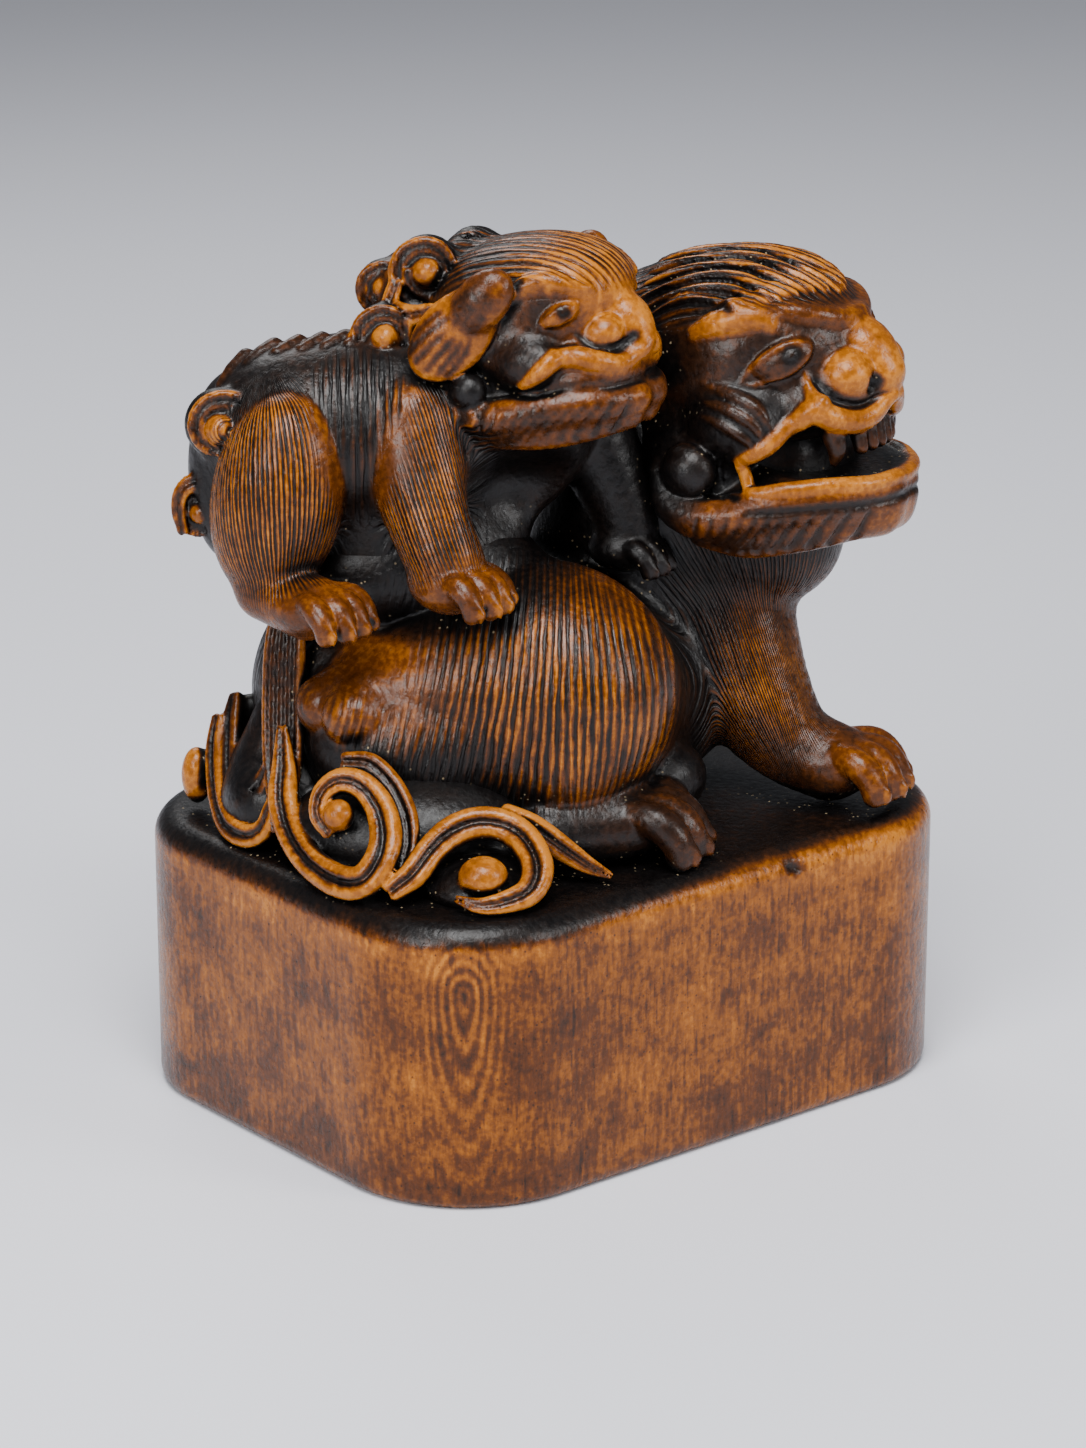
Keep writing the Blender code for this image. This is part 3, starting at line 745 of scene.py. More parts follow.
@dataclass
class ParentBody(Carving):
    """The lion-dog's trunk, haunches, legs and feet, crouched along the block."""

    name: str = "netsuke_parent"
    low: Triple = (-18.0, -15.0, 13.0)
    high: Triple = (18.0, 15.0, 36.0)
    grain: float = 0.184

    def shape(self) -> None:
        """Trunk first, then the forelegs, the haunches and the paws."""
        clay = self.clay
        clay.egg(ALONG_BLOCK, (-1.5, 0.0, 4.8), (12.0, 7.6, 6.4), stain=SOOT)
        clay.egg(SHOW, (-6.6, 1.0, 6.4), (6.4, 5.8, 6.2), blend=1.0)
        clay.egg(ALONG_BLOCK, (-6.4, -4.6, 6.0), (6.6, 5.6, 6.2), blend=1.0)
        clay.egg(SHOW, (-7.0, 3.0, 13.0), (6.4, 4.0, 3.4), blend=1.0, stain=SOOT)
        clay.limb(SHOW, [(10.2, -3.0, 16.5, 5.0), (7.6, -4.2, 11.5, 5.0), (6.6, -4.5, 6.5, 5.0)], blend=1.5)
        clay.egg(SHOW, (4.4, -4.4, 14.0), (5.4, 5.6, 7.0), blend=1.5, stain=SOOT)
        clay.egg(SHOW, (10.6, -2.5, 12.6), (3.9, 3.6, 3.5), blend=1.2, stain=BROWN)
        clay.limb(SHOW, [
            (8.6, -3.2, 11.0, 3.3), (9.2, -2.0, 8.0, 3.1), (10.2, -1.0, 5.0, 2.8), (11.8, -0.2, 2.9, 2.2),
            (13.8, 0.8, 2.0, 1.9)], blend=0.7, stain=BROWN)
        paw(clay, SHOW, (14.9, 1.0, 1.9), 20.0, 1.15, WARM)
        clay.limb(ALONG_BLOCK, [
            (8.4, -5.2, 9.0, 3.2), (9.6, -6.4, 5.0, 2.8), (11.8, -7.4, 1.6, 2.0)], blend=0.9, stain=BROWN)
        paw(clay, ALONG_BLOCK, (13.2, -7.6, 1.2), 0.0, 1.0, BROWN)
        clay.dye(SHOW, (10.8, 0.4, 5.6), (4.2, 3.4, 6.4), WARM, tilt=-20.0, soft=0.7)
        self.pelts.append(Pelt(Lay.ALONG, SHOW, (9.8, -1.0, 8.0), (5.6, 6.0, 9.0), (8.2, -3.4, 14.0),
                               (12.6, 0.2, 1.6)))
        for show, along in zip((SHOW, FAR_SHOW), ALONG_BLOCK.halves()):
            self.haunch(show, along)

    def haunch(self, show: Place, along: Place) -> None:
        """The thigh, a mass that tapers back over a lower lobe, its hair, and the foot under it.

        Args:
            show: the spot for forms that face the show side, or its mirror image.
            along: the spot for forms that lie along the block, or its mirror image.
        """
        clay = self.clay
        clay.limb(show, [
            (-10.2, 7.0, 6.9, 1.5), (-7.4, 6.4, 7.1, 2.7), (-4.4, 5.8, 7.4, 4.0), (-1.6, 5.2, 7.6, 4.8)],
            blend=0.15, stain=WARM)
        clay.egg(along, (-3.0, 4.6, 7.4), (5.3, 6.2, 5.7), blend=2.4, stain=WARM)
        clay.egg(along, (-4.4, 6.6, 4.6), (3.4, 3.2, 2.8), blend=1.6, stain=WARM)
        clay.egg(along, (1.5, 7.0, 2.4), (2.3, 1.9, 1.9), blend=0.3, stain=SOOT)
        clay.limb(along, [(-6.4, 8.0, 1.6, 1.7), (-3.4, 9.2, 1.7, 1.7)])
        paw(clay, along, (-1.8, 9.5, 1.5), 45.0, 1.3, BROWN)
        clay.dye(show, (-5.6, 8.4, 6.8), (5.4, 3.4, 2.4), WARM, tilt=8.0, soft=0.5)
        clay.dye(show, (-6.0, 4.6, 13.0), (9.6, 7.6, 3.4), SOOT, soft=0.7)
        self.pelts.append(Pelt(Lay.SWEEP, show, (-2.6, 6.6, 7.6), (10.6, 8.4, 6.6), (1.2, 6.6, 7.8),
                               (1.2, 6.6, 4.0)))


@dataclass
class TailCarving(Carving):
    """The tail: hair down the rump that parts into grooved scrolls over the block's corner."""

    name: str = "netsuke_tail"
    low: Triple = (-19.0, -14.0, 13.0)
    high: Triple = (2.0, 13.0, 25.0)
    grain: float = 0.12

    def shape(self) -> None:
        """The hank of hair, then the locks that part from it."""
        clay = self.clay
        clay.egg(SHOW, (-6.0, 9.2, 1.4), (6.2, 3.9, 3.1), stain=SOOT)
        clay.egg(SHOW, (-12.8, 4.6, 1.6), (2.6, 3.2, 2.6), stain=SOOT)
        clay.egg(SHOW, (-3.0, 13.6, 0.4), (2.6, 2.6, 1.2), stain=SOOT)
        clay.egg(ALONG_BLOCK, (-12.6, -4.6, 2.0), (1.8, 3.4, 2.6), blend=0.4)
        clay.limb(SHOW, [(-12.2, 4.0, 5.0, 1.8), (-13.2, 4.4, 2.4, 1.8), (-13.0, 5.6, 0.6, 1.2)])
        clay.lock(SHOW, [
            (-12.0, 5.0, 11.4, 0.8), (-12.2, 5.6, 9.4, 1.15), (-12.3, 6.1, 6.8, 1.2),
            (-12.3, 7.1, 4.4, 1.15), (-12.3, 8.3, 3.0, 0.9), (-12.4, 9.2, 1.4, 0.5)], (-0.45, 0.85, 0.3),
            strands=5, stain=WARM)
        self.scroll_on_the_rim()
        self.scroll_at_the_corner()
        self.locks_at_the_end()

    def scroll_on_the_rim(self) -> None:
        """The S-shaped lock that runs down from the hank, along the rim and up into a spiral."""
        clay, out = self.clay, (-0.35, 0.85, 0.4)
        clay.lock(SHOW, [
            (-12.3, 7.2, 5.8, 0.3), (-12.2, 8.1, 4.2, 0.6), (-12.2, 9.2, 3.0, 0.75),
            (-11.8, 10.6, 1.9, 0.7), (-10.9, 12.3, 1.1, 0.72), (-9.6, 13.9, 0.7, 0.75),
            (-8.4, 14.9, 0.9, 0.78), (-7.6, 14.8, 1.7, 0.8), (-7.25, 14.0, 2.7, 0.78),
            (-7.55, 12.9, 3.8, 0.72), (-8.4, 12.1, 4.6, 0.66), (-9.4, 11.8, 4.75, 0.6),
            (-10.2, 12.0, 4.2, 0.52), (-10.4, 12.4, 3.3, 0.44), (-9.9, 12.8, 2.6, 0.36)], out)
        clay.egg(SHOW, (-9.45, 12.7, 3.4), (0.72, 0.75, 0.75), blend=0.06, stain=HONEY)
        clay.lock(SHOW, [
            (-9.2, 10.6, 5.3, 0.45), (-8.0, 11.0, 5.3, 0.5), (-6.9, 11.8, 4.4, 0.5), (-6.3, 12.7, 3.3, 0.5),
            (-6.2, 13.6, 2.3, 0.45), (-6.5, 14.4, 1.5, 0.35)], out, stain=WARM)

    def scroll_at_the_corner(self) -> None:
        """The scroll over the block's near corner, its bead and the tongue that runs off to the right."""
        clay, out = self.clay, (0.0, 0.85, 0.5)
        clay.lock(SHOW, [
            (-6.9, 15.4, 0.7, 0.55), (-6.0, 15.2, 1.4, 0.65), (-5.2, 14.3, 2.2, 0.7),
            (-4.2, 13.3, 2.8, 0.75), (-2.95, 12.9, 3.1, 0.75), (-1.7, 13.0, 2.9, 0.75),
            (-0.8, 13.8, 2.4, 0.75), (-0.35, 15.0, 1.6, 0.75), (-0.7, 16.0, 0.9, 0.65),
            (-1.7, 16.6, 0.6, 0.55), (-2.9, 16.9, 0.5, 0.4), (-4.0, 16.5, 0.7, 0.2)], out)
        clay.egg(SHOW, (-2.8, 15.5, 1.4), (1.15, 1.05, 0.95), blend=0.06, stain=HONEY)
        clay.lock(SHOW, [
            (-1.8, 12.3, 3.2, 0.6), (-0.6, 12.4, 2.7, 0.62), (0.6, 12.4, 1.8, 0.6), (1.9, 12.5, 0.9, 0.45),
            (3.0, 12.6, 0.4, 0.2)], out)

    def locks_at_the_end(self) -> None:
        """The locks that swing round the block's short end: two U-shaped ones and a bead-shaped one."""
        clay, out = self.clay, (-0.75, 0.6, 0.3)
        clay.lock(SHOW, [
            (-12.8, 8.4, 2.3, 0.45), (-13.2, 8.4, 1.2, 0.55), (-14.0, 7.7, 0.6, 0.6),
            (-15.0, 6.3, 0.7, 0.62), (-15.6, 4.2, 1.5, 0.62), (-15.8, 2.6, 3.2, 0.6),
            (-15.7, 2.0, 4.6, 0.4)], out)
        clay.lock(SHOW, [
            (-13.0, 7.0, 3.6, 0.5), (-13.6, 6.9, 2.4, 0.55), (-14.3, 6.1, 1.6, 0.55),
            (-14.9, 4.6, 2.0, 0.55), (-15.0, 2.6, 4.2, 0.55), (-14.9, 1.6, 5.6, 0.35)], out, stain=WARM)
        clay.egg(SHOW, (-16.8, 1.9, 1.7), (0.75, 0.9, 1.4), blend=0.1, stain=HONEY)
        clay.limb(SHOW, [(-15.0, 1.6, 2.6, 1.2), (-14.6, 1.2, 4.4, 0.9), (-13.9, 1.4, 5.2, 0.5)], blend=0.6)


def eye(clay: Clay, head: Place, centre: Triple, size: float, stain: Stain) -> None:
    """An almond eye: the ball, the two lids round it and the ring of the pupil.

    Args:
        clay: the field.
        head: the head's spot, or its mirror image.
        centre: the middle of the ball.
        size: its size, one for a ball 3.2 mm long.
        stain: how far the stain is rubbed from the ball.
    """
    here = head.facing(centre, -27.0, 20.0)
    clay.egg(here, (0.1, 0.0, 0.0), (1.6 * size, 0.95 * size, 0.88 * size), blend=0.1, stain=stain)
    for up, thick in ((1.0, 0.22), (-1.0, 0.18)):
        clay.stroke(here, [
            (-2.1 * size, 0.3, -0.1 * size, 0.08 * size),
            (-1.0 * size, 0.8, 0.68 * up * size, thick * size),
            (0.5 * size, 0.8, 0.86 * up * size, thick * size), (2.1 * size, 0.3, 0.1 * size, 0.08 * size)],
            rise=0.7, blend=0.06, stain=WARM)
    ring = [((0.75 + 0.42 * math.cos(angle)) * size, 1.2, (0.1 + 0.42 * math.sin(angle)) * size,
             0.12 * size) for angle in np.linspace(0.0, 2.0 * math.pi, 9)]
    clay.stroke(here, ring, rise=0.8, blend=0.05, stain=SOOT, cut=True, steps=2)


def curl(clay: Clay, centre: Triple, radius: float, start: float, turns: float) -> None:
    """A lock of hair that winds in to a bead, in the show side's plane.

    Args:
        clay: the field.
        centre: the bead's place in the SHOW spot.
        radius: outer radius of the curl.
        start: degrees at which the lock begins, from right by way of up.
        turns: turns it makes, below zero clockwise.
    """
    stations = []
    for share in np.linspace(0.0, 1.0, 13):
        angle = math.radians(start) + share * turns * 2.0 * math.pi
        reach = radius * (1.0 - 0.5 * share)
        stations.append((centre[0] + reach * math.cos(angle), centre[1] - 0.3 * radius * (1.0 - share),
                         centre[2] + reach * math.sin(angle), radius * (0.3 - 0.12 * share)))
    clay.egg(SHOW, (centre[0], centre[1] - 0.6 * radius, centre[2]), (radius, 0.6 * radius, radius),
             blend=0.3, stain=SOOT)
    clay.lock(SHOW, stations, (0.0, 1.0, 0.1), steps=3)
    clay.egg(SHOW, centre, (radius * 0.42,) * 3, blend=0.04, stain=HONEY)


@dataclass
class ParentHead(Carving):
    """The lion-dog's head: open mouth, fangs, a beard swept back to a curl at the jaw."""

    name: str = "netsuke_parent_head"
    low: Triple = (-4.0, -15.0, 22.0)
    high: Triple = (20.0, 10.0, 42.5)
    grain: float = 0.13
    beard_cuts: int = 12
    crown_locks: int = 6
    front_teeth: int = 5

    def shape(self) -> None:
        """Skull, muzzle and jaw, then the features of both sides."""
        self.pelts += [
            Pelt(Lay.STRAIGHT, PARENT_HEAD, (0.0, 0.0, 4.6), (6.6, 5.6, 3.2), (-5.0, 0.0, 4.0),
                 (6.0, 0.0, 4.0)),
            Pelt(Lay.STRAIGHT, PARENT_HEAD, (-8.0, 0.0, -1.0), (5.4, 6.4, 6.4), (-4.0, 0.0, 4.0),
                 (-8.0, 0.0, -7.0)),
        ]
        clay, head = self.clay, PARENT_HEAD
        clay.egg(head, (-1.5, 0.0, -3.4), (4.6, 5.6, 4.0), stain=SOOT)
        clay.limb(head, [
            (-2.4, 0.0, 2.4, 3.6), (-4.8, 0.0, 0.4, 4.4), (-6.2, 0.0, -4.0, 4.4)], blend=1.0, stain=BROWN)
        clay.egg(head, (0.4, 0.0, 1.5), (6.1, 5.4, 4.6), blend=1.0, stain=BROWN)
        clay.egg(head, (4.0, 0.0, -1.0), (3.4, 4.5, 2.1), blend=0.8, stain=BROWN)
        clay.egg(head, (2.2, 0.0, -5.2), (5.4, 5.0, 2.3), blend=0.3, stain=BROWN)
        clay.egg(head, (6.2, 0.0, -6.0), (1.7, 2.5, 1.8), blend=0.8, stain=HONEY)
        for half in PARENT_HEAD.halves():
            clay.egg(half, (1.6, 4.5, -1.4), (2.4, 1.5, 2.0), blend=0.7, stain=SOOT)
            clay.limb(half, [
                (7.0, 0.8, -5.7, 1.0), (5.9, 2.9, -5.5, 1.05), (4.1, 4.3, -5.4, 1.1), (2.1, 5.2, -5.6, 1.1),
                (0.0, 5.7, -5.7, 1.05), (-1.7, 5.7, -5.0, 0.9), (-2.3, 5.4, -3.4, 0.6)], blend=0.5,
                stain=WARM)
            clay.limb(half, [
                (6.7, 0.8, -6.8, 0.8), (5.3, 2.7, -6.8, 0.9), (3.5, 3.9, -6.9, 0.95), (1.5, 4.9, -6.9, 0.9),
                (-0.4, 5.2, -6.4, 0.8)], blend=0.7, stain=WARM)
        self.mouth()
        self.nose()
        for half in PARENT_HEAD.halves():
            self.eye_and_brow(half)
            self.lips(half)
            self.cheek(half)
            self.beard(half)
            self.locks(half)
            clay.dye(half, (-2.4, 5.6, -4.8), (3.0, 2.6, 3.2), SOOT, soft=0.6)
        self.teeth()

    def mouth(self) -> None:
        """The open mouth: a flat lens, arched up behind the fangs and under the nose."""
        clay, head = self.clay, PARENT_HEAD
        clay.egg(head, (5.4, 0.0, -3.6), (4.0, 6.5, 0.95), tilt=-4.0, blend=0.2, stain=SOOT, cut=True)
        clay.egg(head, (8.0, 0.0, -3.2), (2.0, 1.0, 1.0), blend=0.3, stain=SOOT, cut=True)
        for half in PARENT_HEAD.halves():
            clay.egg(half, (5.0, 4.6, -2.7), (1.1, 2.0, 1.0), blend=0.3, stain=SOOT, cut=True)

    def nose(self) -> None:
        """A broad nose: the bridge, the tip, the two wings and their nostrils."""
        clay, head = self.clay, PARENT_HEAD
        clay.limb(head, [
            (5.0, 0.0, 1.9, 1.4), (6.3, 0.0, 1.1, 1.5), (6.9, 0.0, 0.0, 1.4)], blend=0.5, stain=HONEY)
        for half in PARENT_HEAD.halves():
            clay.egg(half, (6.0, 1.8, 0.2), (1.5, 1.35, 1.25), blend=0.25, stain=HONEY)
            clay.egg(half, (7.6, 1.5, -0.4), (0.7, 0.4, 0.55), tilt=-30.0, blend=0.1, stain=SOOT, cut=True)

    def eye_and_brow(self, head: Place) -> None:
        """The socket, the eye in it and the heavy brow that hooks down over it."""
        clay = self.clay
        clay.egg(head, (3.9, 5.9, 1.6), (2.9, 1.35, 1.7), turn=-30.0, tilt=14.0, stain=SOOT, cut=True)
        eye(clay, head, (3.9, 4.0, 1.45), 1.0, BROWN)
        clay.stroke(head, [
            (0.2, 5.4, 3.2, 0.4), (1.7, 5.2, 3.8, 0.75), (2.9, 4.9, 4.0, 0.8), (3.7, 4.6, 3.7, 0.55),
            (3.9, 4.5, 3.2, 0.3)], rise=0.8, blend=0.2, stain=HONEY)
        clay.stroke(head, [
            (4.2, 4.0, 4.2, 0.4), (5.3, 2.9, 3.6, 0.6), (6.1, 1.5, 3.0, 0.55), (6.3, 0.3, 2.9, 0.5)],
            rise=0.6, blend=0.25, stain=WARM)

    def lips(self, head: Place) -> None:
        """The upper lip, a ridge that climbs to the nose, the groove round the nose and the lower lip."""
        clay = self.clay
        clay.stroke(head, [
            (5.2, 3.3, 0.2, 0.15), (6.1, 3.2, -0.8, 0.3), (6.9, 2.0, -1.3, 0.35), (7.4, 0.7, -1.0, 0.25)],
            rise=0.9, stain=SOOT, cut=True)
        clay.stroke(head, [
            (2.0, 5.5, -3.6, 0.3), (2.1, 5.4, -3.0, 0.4), (3.3, 5.2, -2.4, 0.5), (4.7, 4.8, -1.8, 0.5),
            (5.5, 4.3, -1.0, 0.58), (6.1, 3.5, -1.6, 0.65), (6.9, 2.3, -2.3, 0.66), (7.4, 1.2, -2.0, 0.6),
            (7.7, 0.3, -1.1, 0.4)], rise=0.85, blend=0.15, stain=HONEY)
        clay.stroke(head, [
            (4.9, 3.6, 0.7, 0.15), (5.3, 3.9, 0.0, 0.3), (5.6, 3.9, -1.0, 0.45)], rise=0.7, stain=HONEY)
        clay.stroke(head, [
            (2.0, 5.5, -3.6, 0.3), (2.5, 5.6, -4.3, 0.36), (3.8, 5.2, -4.5, 0.42), (5.3, 4.3, -4.6, 0.42),
            (7.1, 2.4, -4.9, 0.4), (7.9, 0.2, -4.9, 0.35)], rise=0.9, blend=0.15, stain=HONEY)
        clay.stroke(head, [
            (2.4, 6.2, -5.4, 0.1), (4.1, 5.4, -5.5, 0.2), (5.9, 4.0, -5.6, 0.22), (7.4, 2.0, -5.8, 0.2),
            (8.0, 0.2, -5.8, 0.2)], rise=0.8, blend=0.15, cut=True)

    def cheek(self, head: Place) -> None:
        """The whisker tuft under the eye, the creases round the mouth's corner and the curl at the jaw."""
        clay = self.clay
        for drop, thick in ((0.0, 0.34), (0.75, 0.3), (1.45, 0.26)):
            clay.stroke(head, [
                (0.3, 5.6, 0.7 - drop, 0.1), (1.9 - 0.3 * drop, 5.7, 0.3 - drop, thick),
                (3.2 - 0.5 * drop, 5.6, -0.4 - drop, thick),
                (3.7 - 0.6 * drop, 5.3, -1.6 - 0.6 * drop, 0.1)], rise=0.7, blend=0.08, stain=BROWN)
        for back in (0.0, 0.7):
            clay.stroke(head, [
                (1.7 - back, 5.6, -2.3, 0.1), (0.9 - back, 5.6, -3.2, 0.2), (0.9 - back, 5.6, -4.2, 0.2),
                (1.8 - back, 5.8, -4.9, 0.1)], rise=0.9, blend=0.08, stain=SOOT, cut=True)
        clay.egg(head, (-0.7, 5.6, -3.4), (1.35, 1.1, 1.35), blend=0.12)

    def beard(self, head: Place) -> None:
        """The cuts that part the beard into locks, leaning back as they go down."""
        for cut in range(self.beard_cuts):
            share = cut / (self.beard_cuts - 1.0)
            forward = 6.9 - 7.6 * share
            wide = 6.2 * math.sqrt(max(0.0, 1.0 - ((forward - 0.6) / 7.0) ** 2))
            self.clay.stroke(head, [
                (forward + 0.7, wide, -5.8 + 0.2 * share, 0.05), (forward + 0.1, wide, -6.5, 0.16),
                (forward - 0.8 - 0.5 * share, wide, -7.7, 0.24)], rise=0.8, blend=0.06, stain=BROWN,
                cut=True, steps=3)

    def locks(self, head: Place) -> None:
        """Wavy locks over the crown, each ending in a hook above the brow."""
        for lock in range(self.crown_locks):
            wide = 0.35 + 0.85 * lock
            self.clay.stroke(head, [
                (-3.4, wide * 1.1, 5.4 - 0.25 * lock, 0.2), (-1.0, wide + 0.25, 6.2 - 0.3 * lock, 0.5),
                (1.4, wide - 0.1, 6.1 - 0.32 * lock, 0.46),
                (3.8 - 0.35 * lock, wide * 0.95 + 0.2, 5.2 - 0.2 * lock, 0.5),
                (5.4 - 0.5 * lock, wide * 0.75, 4.0 - 0.05 * lock, 0.3)], rise=0.55, blend=0.08,
                stain=HONEY)
            self.clay.stroke(head, [
                (-3.2, wide * 1.1 + 0.42, 5.3 - 0.25 * lock, 0.1),
                (-1.0, wide + 0.67, 6.1 - 0.3 * lock, 0.2), (1.4, wide + 0.32, 6.0 - 0.32 * lock, 0.2),
                (3.8 - 0.35 * lock, wide * 0.95 + 0.58, 5.1 - 0.2 * lock, 0.15)], rise=1.0, blend=0.08,
                cut=True)

    def teeth(self) -> None:
        """The fangs and a row of front teeth."""
        clay, head = self.clay, PARENT_HEAD
        for half in PARENT_HEAD.halves():
            clay.limb(half, [
                (5.7, 2.9, -2.4, 0.55), (5.8, 2.9, -3.1, 0.45), (5.6, 2.9, -3.8, 0.2)], blend=0.1,
                stain=BROWN)
        for tooth in range(self.front_teeth):
            across = (tooth - (self.front_teeth - 1.0) / 2.0) * 0.8
            clay.limb(head, [
                (6.6 - 0.1 * across * across, across, -2.4, 0.42),
                (6.7 - 0.1 * across * across, across, -3.3, 0.36)], blend=0.05, stain=BROWN)


@dataclass
class Cub(Carving):
    """The cub: its trunk and legs lie across the parent's back, its head is turned to the show side."""

    name: str = "netsuke_cub"
    low: Triple = (-19.0, -12.0, 23.0)
    high: Triple = (9.0, 13.0, 44.0)
    grain: float = 0.146
    back_knobs: int = 7
    ear_grooves: int = 6
    beard_cuts: int = 12
    nape_locks: int = 5

    def shape(self) -> None:
        """Trunk, legs, tail, head and mane, and where the hair is cut on them."""
        self.pelts += [
            Pelt(Lay.ALONG, SHOW, (-12.2, 7.6, 17.2), (3.9, 4.2, 6.0), (-12.8, 5.6, 23.0),
                 (-12.4, 7.4, 11.6)),
            Pelt(Lay.ALONG, SHOW, (-11.0, -1.6, 16.0), (4.2, 3.0, 5.8), (-11.0, 0.6, 21.0),
                 (-10.0, -1.2, 11.2)),
            Pelt(Lay.ALONG, SHOW, (-5.1, 7.6, 17.2), (3.6, 4.0, 5.4), (-6.6, 4.8, 22.0), (-3.2, 8.8, 12.2)),
            Pelt(Lay.STRAIGHT, CUB_HEAD, (0.6, 0.0, 3.6), (5.4, 4.6, 2.9), (-4.0, 0.0, 3.0), (5.0, 0.0, 3.0)),
            Pelt(Lay.DOWN, SHOW, (-8.6, 6.6, 19.6), (3.4, 4.0, 4.4), (-13.0, 3.4, 22.0), (-3.0, 3.0, 22.0)),
        ]
        self.body()
        self.legs()
        self.head()
        for half in CUB_HEAD.halves():
            self.eye_and_brow(half)
            self.lips(half)
            self.ear(half)
            self.beard(half)
        self.mane()

    def body(self) -> None:
        """The trunk, the thigh on the show side and the ridge along the back."""
        clay = self.clay
        clay.limb(SHOW, [(-11.6, 3.8, 19.0, 4.5), (-7.2, 3.2, 19.3, 4.6), (-2.4, 2.4, 18.8, 4.3)])
        clay.egg(SHOW, (-1.6, 2.4, 20.6), (4.2, 4.2, 4.2), blend=1.0, stain=SOOT)
        clay.egg(SHOW, (-7.0, 3.0, 14.0), (6.2, 3.8, 3.6), blend=1.5, stain=SOOT)
        clay.egg(SHOW, (-12.3, 7.1, 17.0), (3.1, 3.0, 5.0), tilt=-11.0, blend=0.15, stain=WARM)
        for knob in range(self.back_knobs):
            share = knob / (self.back_knobs - 1.0)
            clay.stroke(SHOW, [
                (-14.4 + 6.4 * share, 4.6, 21.2 + 2.6 * share ** 0.6, 0.25),
                (-13.5 + 6.4 * share, 3.8, 22.2 + 1.9 * share ** 0.6, 0.45)], rise=0.8, stain=BROWN,
                steps=2)

    def legs(self) -> None:
        """Four legs with their paws, and the curls of the tail."""
        clay = self.clay
        clay.limb(SHOW, [(-12.8, 7.6, 12.8, 1.6), (-10.9, 9.0, 12.2, 1.5)], stain=WARM)
        paw(clay, SHOW, (-10.1, 9.7, 12.2), 38.0, 0.9, WARM)
        clay.limb(SHOW, [
            (-6.2, 5.6, 20.0, 2.6), (-5.6, 7.0, 17.4, 2.3), (-4.7, 8.3, 14.9, 2.0), (-4.3, 8.9, 13.6, 1.6)],
            blend=0.3, stain=WARM)
        paw(clay, SHOW, (-3.7, 9.2, 13.1), 30.0, 0.9, WARM)
        clay.limb(SHOW, [
            (2.0, 0.4, 18.6, 2.2), (3.4, 0.8, 15.6, 1.8), (4.0, 1.2, 13.4, 1.5)], blend=0.6, stain=SOOT)
        paw(clay, SHOW, (4.3, 1.6, 12.7), 20.0, 0.75, SOOT)
        clay.egg(SHOW, (-0.6, 6.6, 16.6), (2.6, 3.0, 2.0), blend=1.8, stain=SOOT, cut=True)
        clay.limb(SHOW, [
            (-11.0, 0.6, 18.0, 3.2), (-11.2, -0.8, 14.4, 2.4), (-9.6, -1.0, 12.2, 1.6)], blend=0.6,
            stain=BROWN)
        paw(clay, SHOW, (-8.6, -1.8, 12.0), -50.0, 0.8, BROWN)
        clay.egg(SHOW, (-14.8, 3.6, 17.4), (1.9, 2.4, 4.4), stain=SOOT)
        curl(clay, (-14.9, 6.8, 20.1), 1.75, -75.0, 1.05)
        curl(clay, (-16.1, 4.9, 15.6), 1.15, 120.0, 1.0)
        clay.lock(SHOW, [
            (-15.4, 4.8, 17.4, 0.4), (-16.6, 4.9, 17.0, 0.42), (-17.1, 4.7, 16.0, 0.4),
            (-16.9, 4.9, 14.7, 0.3)], (-0.5, 0.85, 0.1))

    def head(self) -> None:
        """Skull, muzzle, jaw and nose."""
        clay, head = self.clay, CUB_HEAD
        clay.egg(head, (-0.4, 0.0, 0.5), (4.8, 4.5, 4.3), blend=0.6, stain=BROWN)
        clay.egg(head, (1.6, 0.0, 2.2), (3.5, 3.8, 2.5), blend=0.8, stain=HONEY)
        clay.egg(head, (3.0, 0.0, -0.8), (2.6, 3.5, 1.6), stain=WARM)
        clay.egg(head, (1.9, 0.0, -2.9), (3.8, 3.7, 1.7), blend=0.25, stain=BROWN)
        clay.limb(head, [
            (4.0, 0.0, 1.4, 1.1), (4.9, 0.0, 0.6, 1.15), (5.2, 0.0, -0.2, 1.05)], blend=0.35, stain=HONEY)
        for half in CUB_HEAD.halves():
            clay.egg(half, (4.3, 1.4, 0.3), (1.1, 1.0, 0.9), blend=0.2, stain=HONEY)
            clay.egg(half, (1.5, 3.7, -0.6), (1.6, 1.1, 1.3))
            clay.limb(half, [
                (5.2, 0.8, -2.9, 0.85), (4.3, 2.3, -2.85, 0.9), (2.9, 3.3, -2.8, 0.95),
                (1.2, 4.1, -2.95, 0.95), (-0.4, 4.6, -3.0, 0.9), (-1.6, 4.8, -2.5, 0.6),
                (-2.0, 4.8, -1.6, 0.35)], stain=WARM)
            clay.limb(half, [
                (4.9, 0.8, -3.8, 0.55), (3.8, 2.1, -3.9, 0.65), (2.3, 3.1, -4.0, 0.7),
                (0.7, 3.9, -3.9, 0.7), (-0.6, 4.3, -3.7, 0.6)], blend=0.5, stain=WARM)

    def eye_and_brow(self, head: Place) -> None:
        """The socket, the eye in it and the brow over it."""
        clay = self.clay
        clay.egg(head, (3.2, 4.4, 1.6), (2.1, 0.95, 1.2), turn=-30.0, tilt=14.0, blend=0.4, stain=SOOT,
                 cut=True)
        eye(clay, head, (3.1, 3.2, 1.45), 0.6, HONEY)
        clay.stroke(head, [
            (1.4, 4.4, 2.8, 0.3), (2.1, 4.1, 3.3, 0.5), (3.0, 3.6, 3.3, 0.5), (3.9, 3.1, 2.8, 0.35),
            (4.4, 2.3, 2.5, 0.25)], rise=0.8, blend=0.15, stain=HONEY)

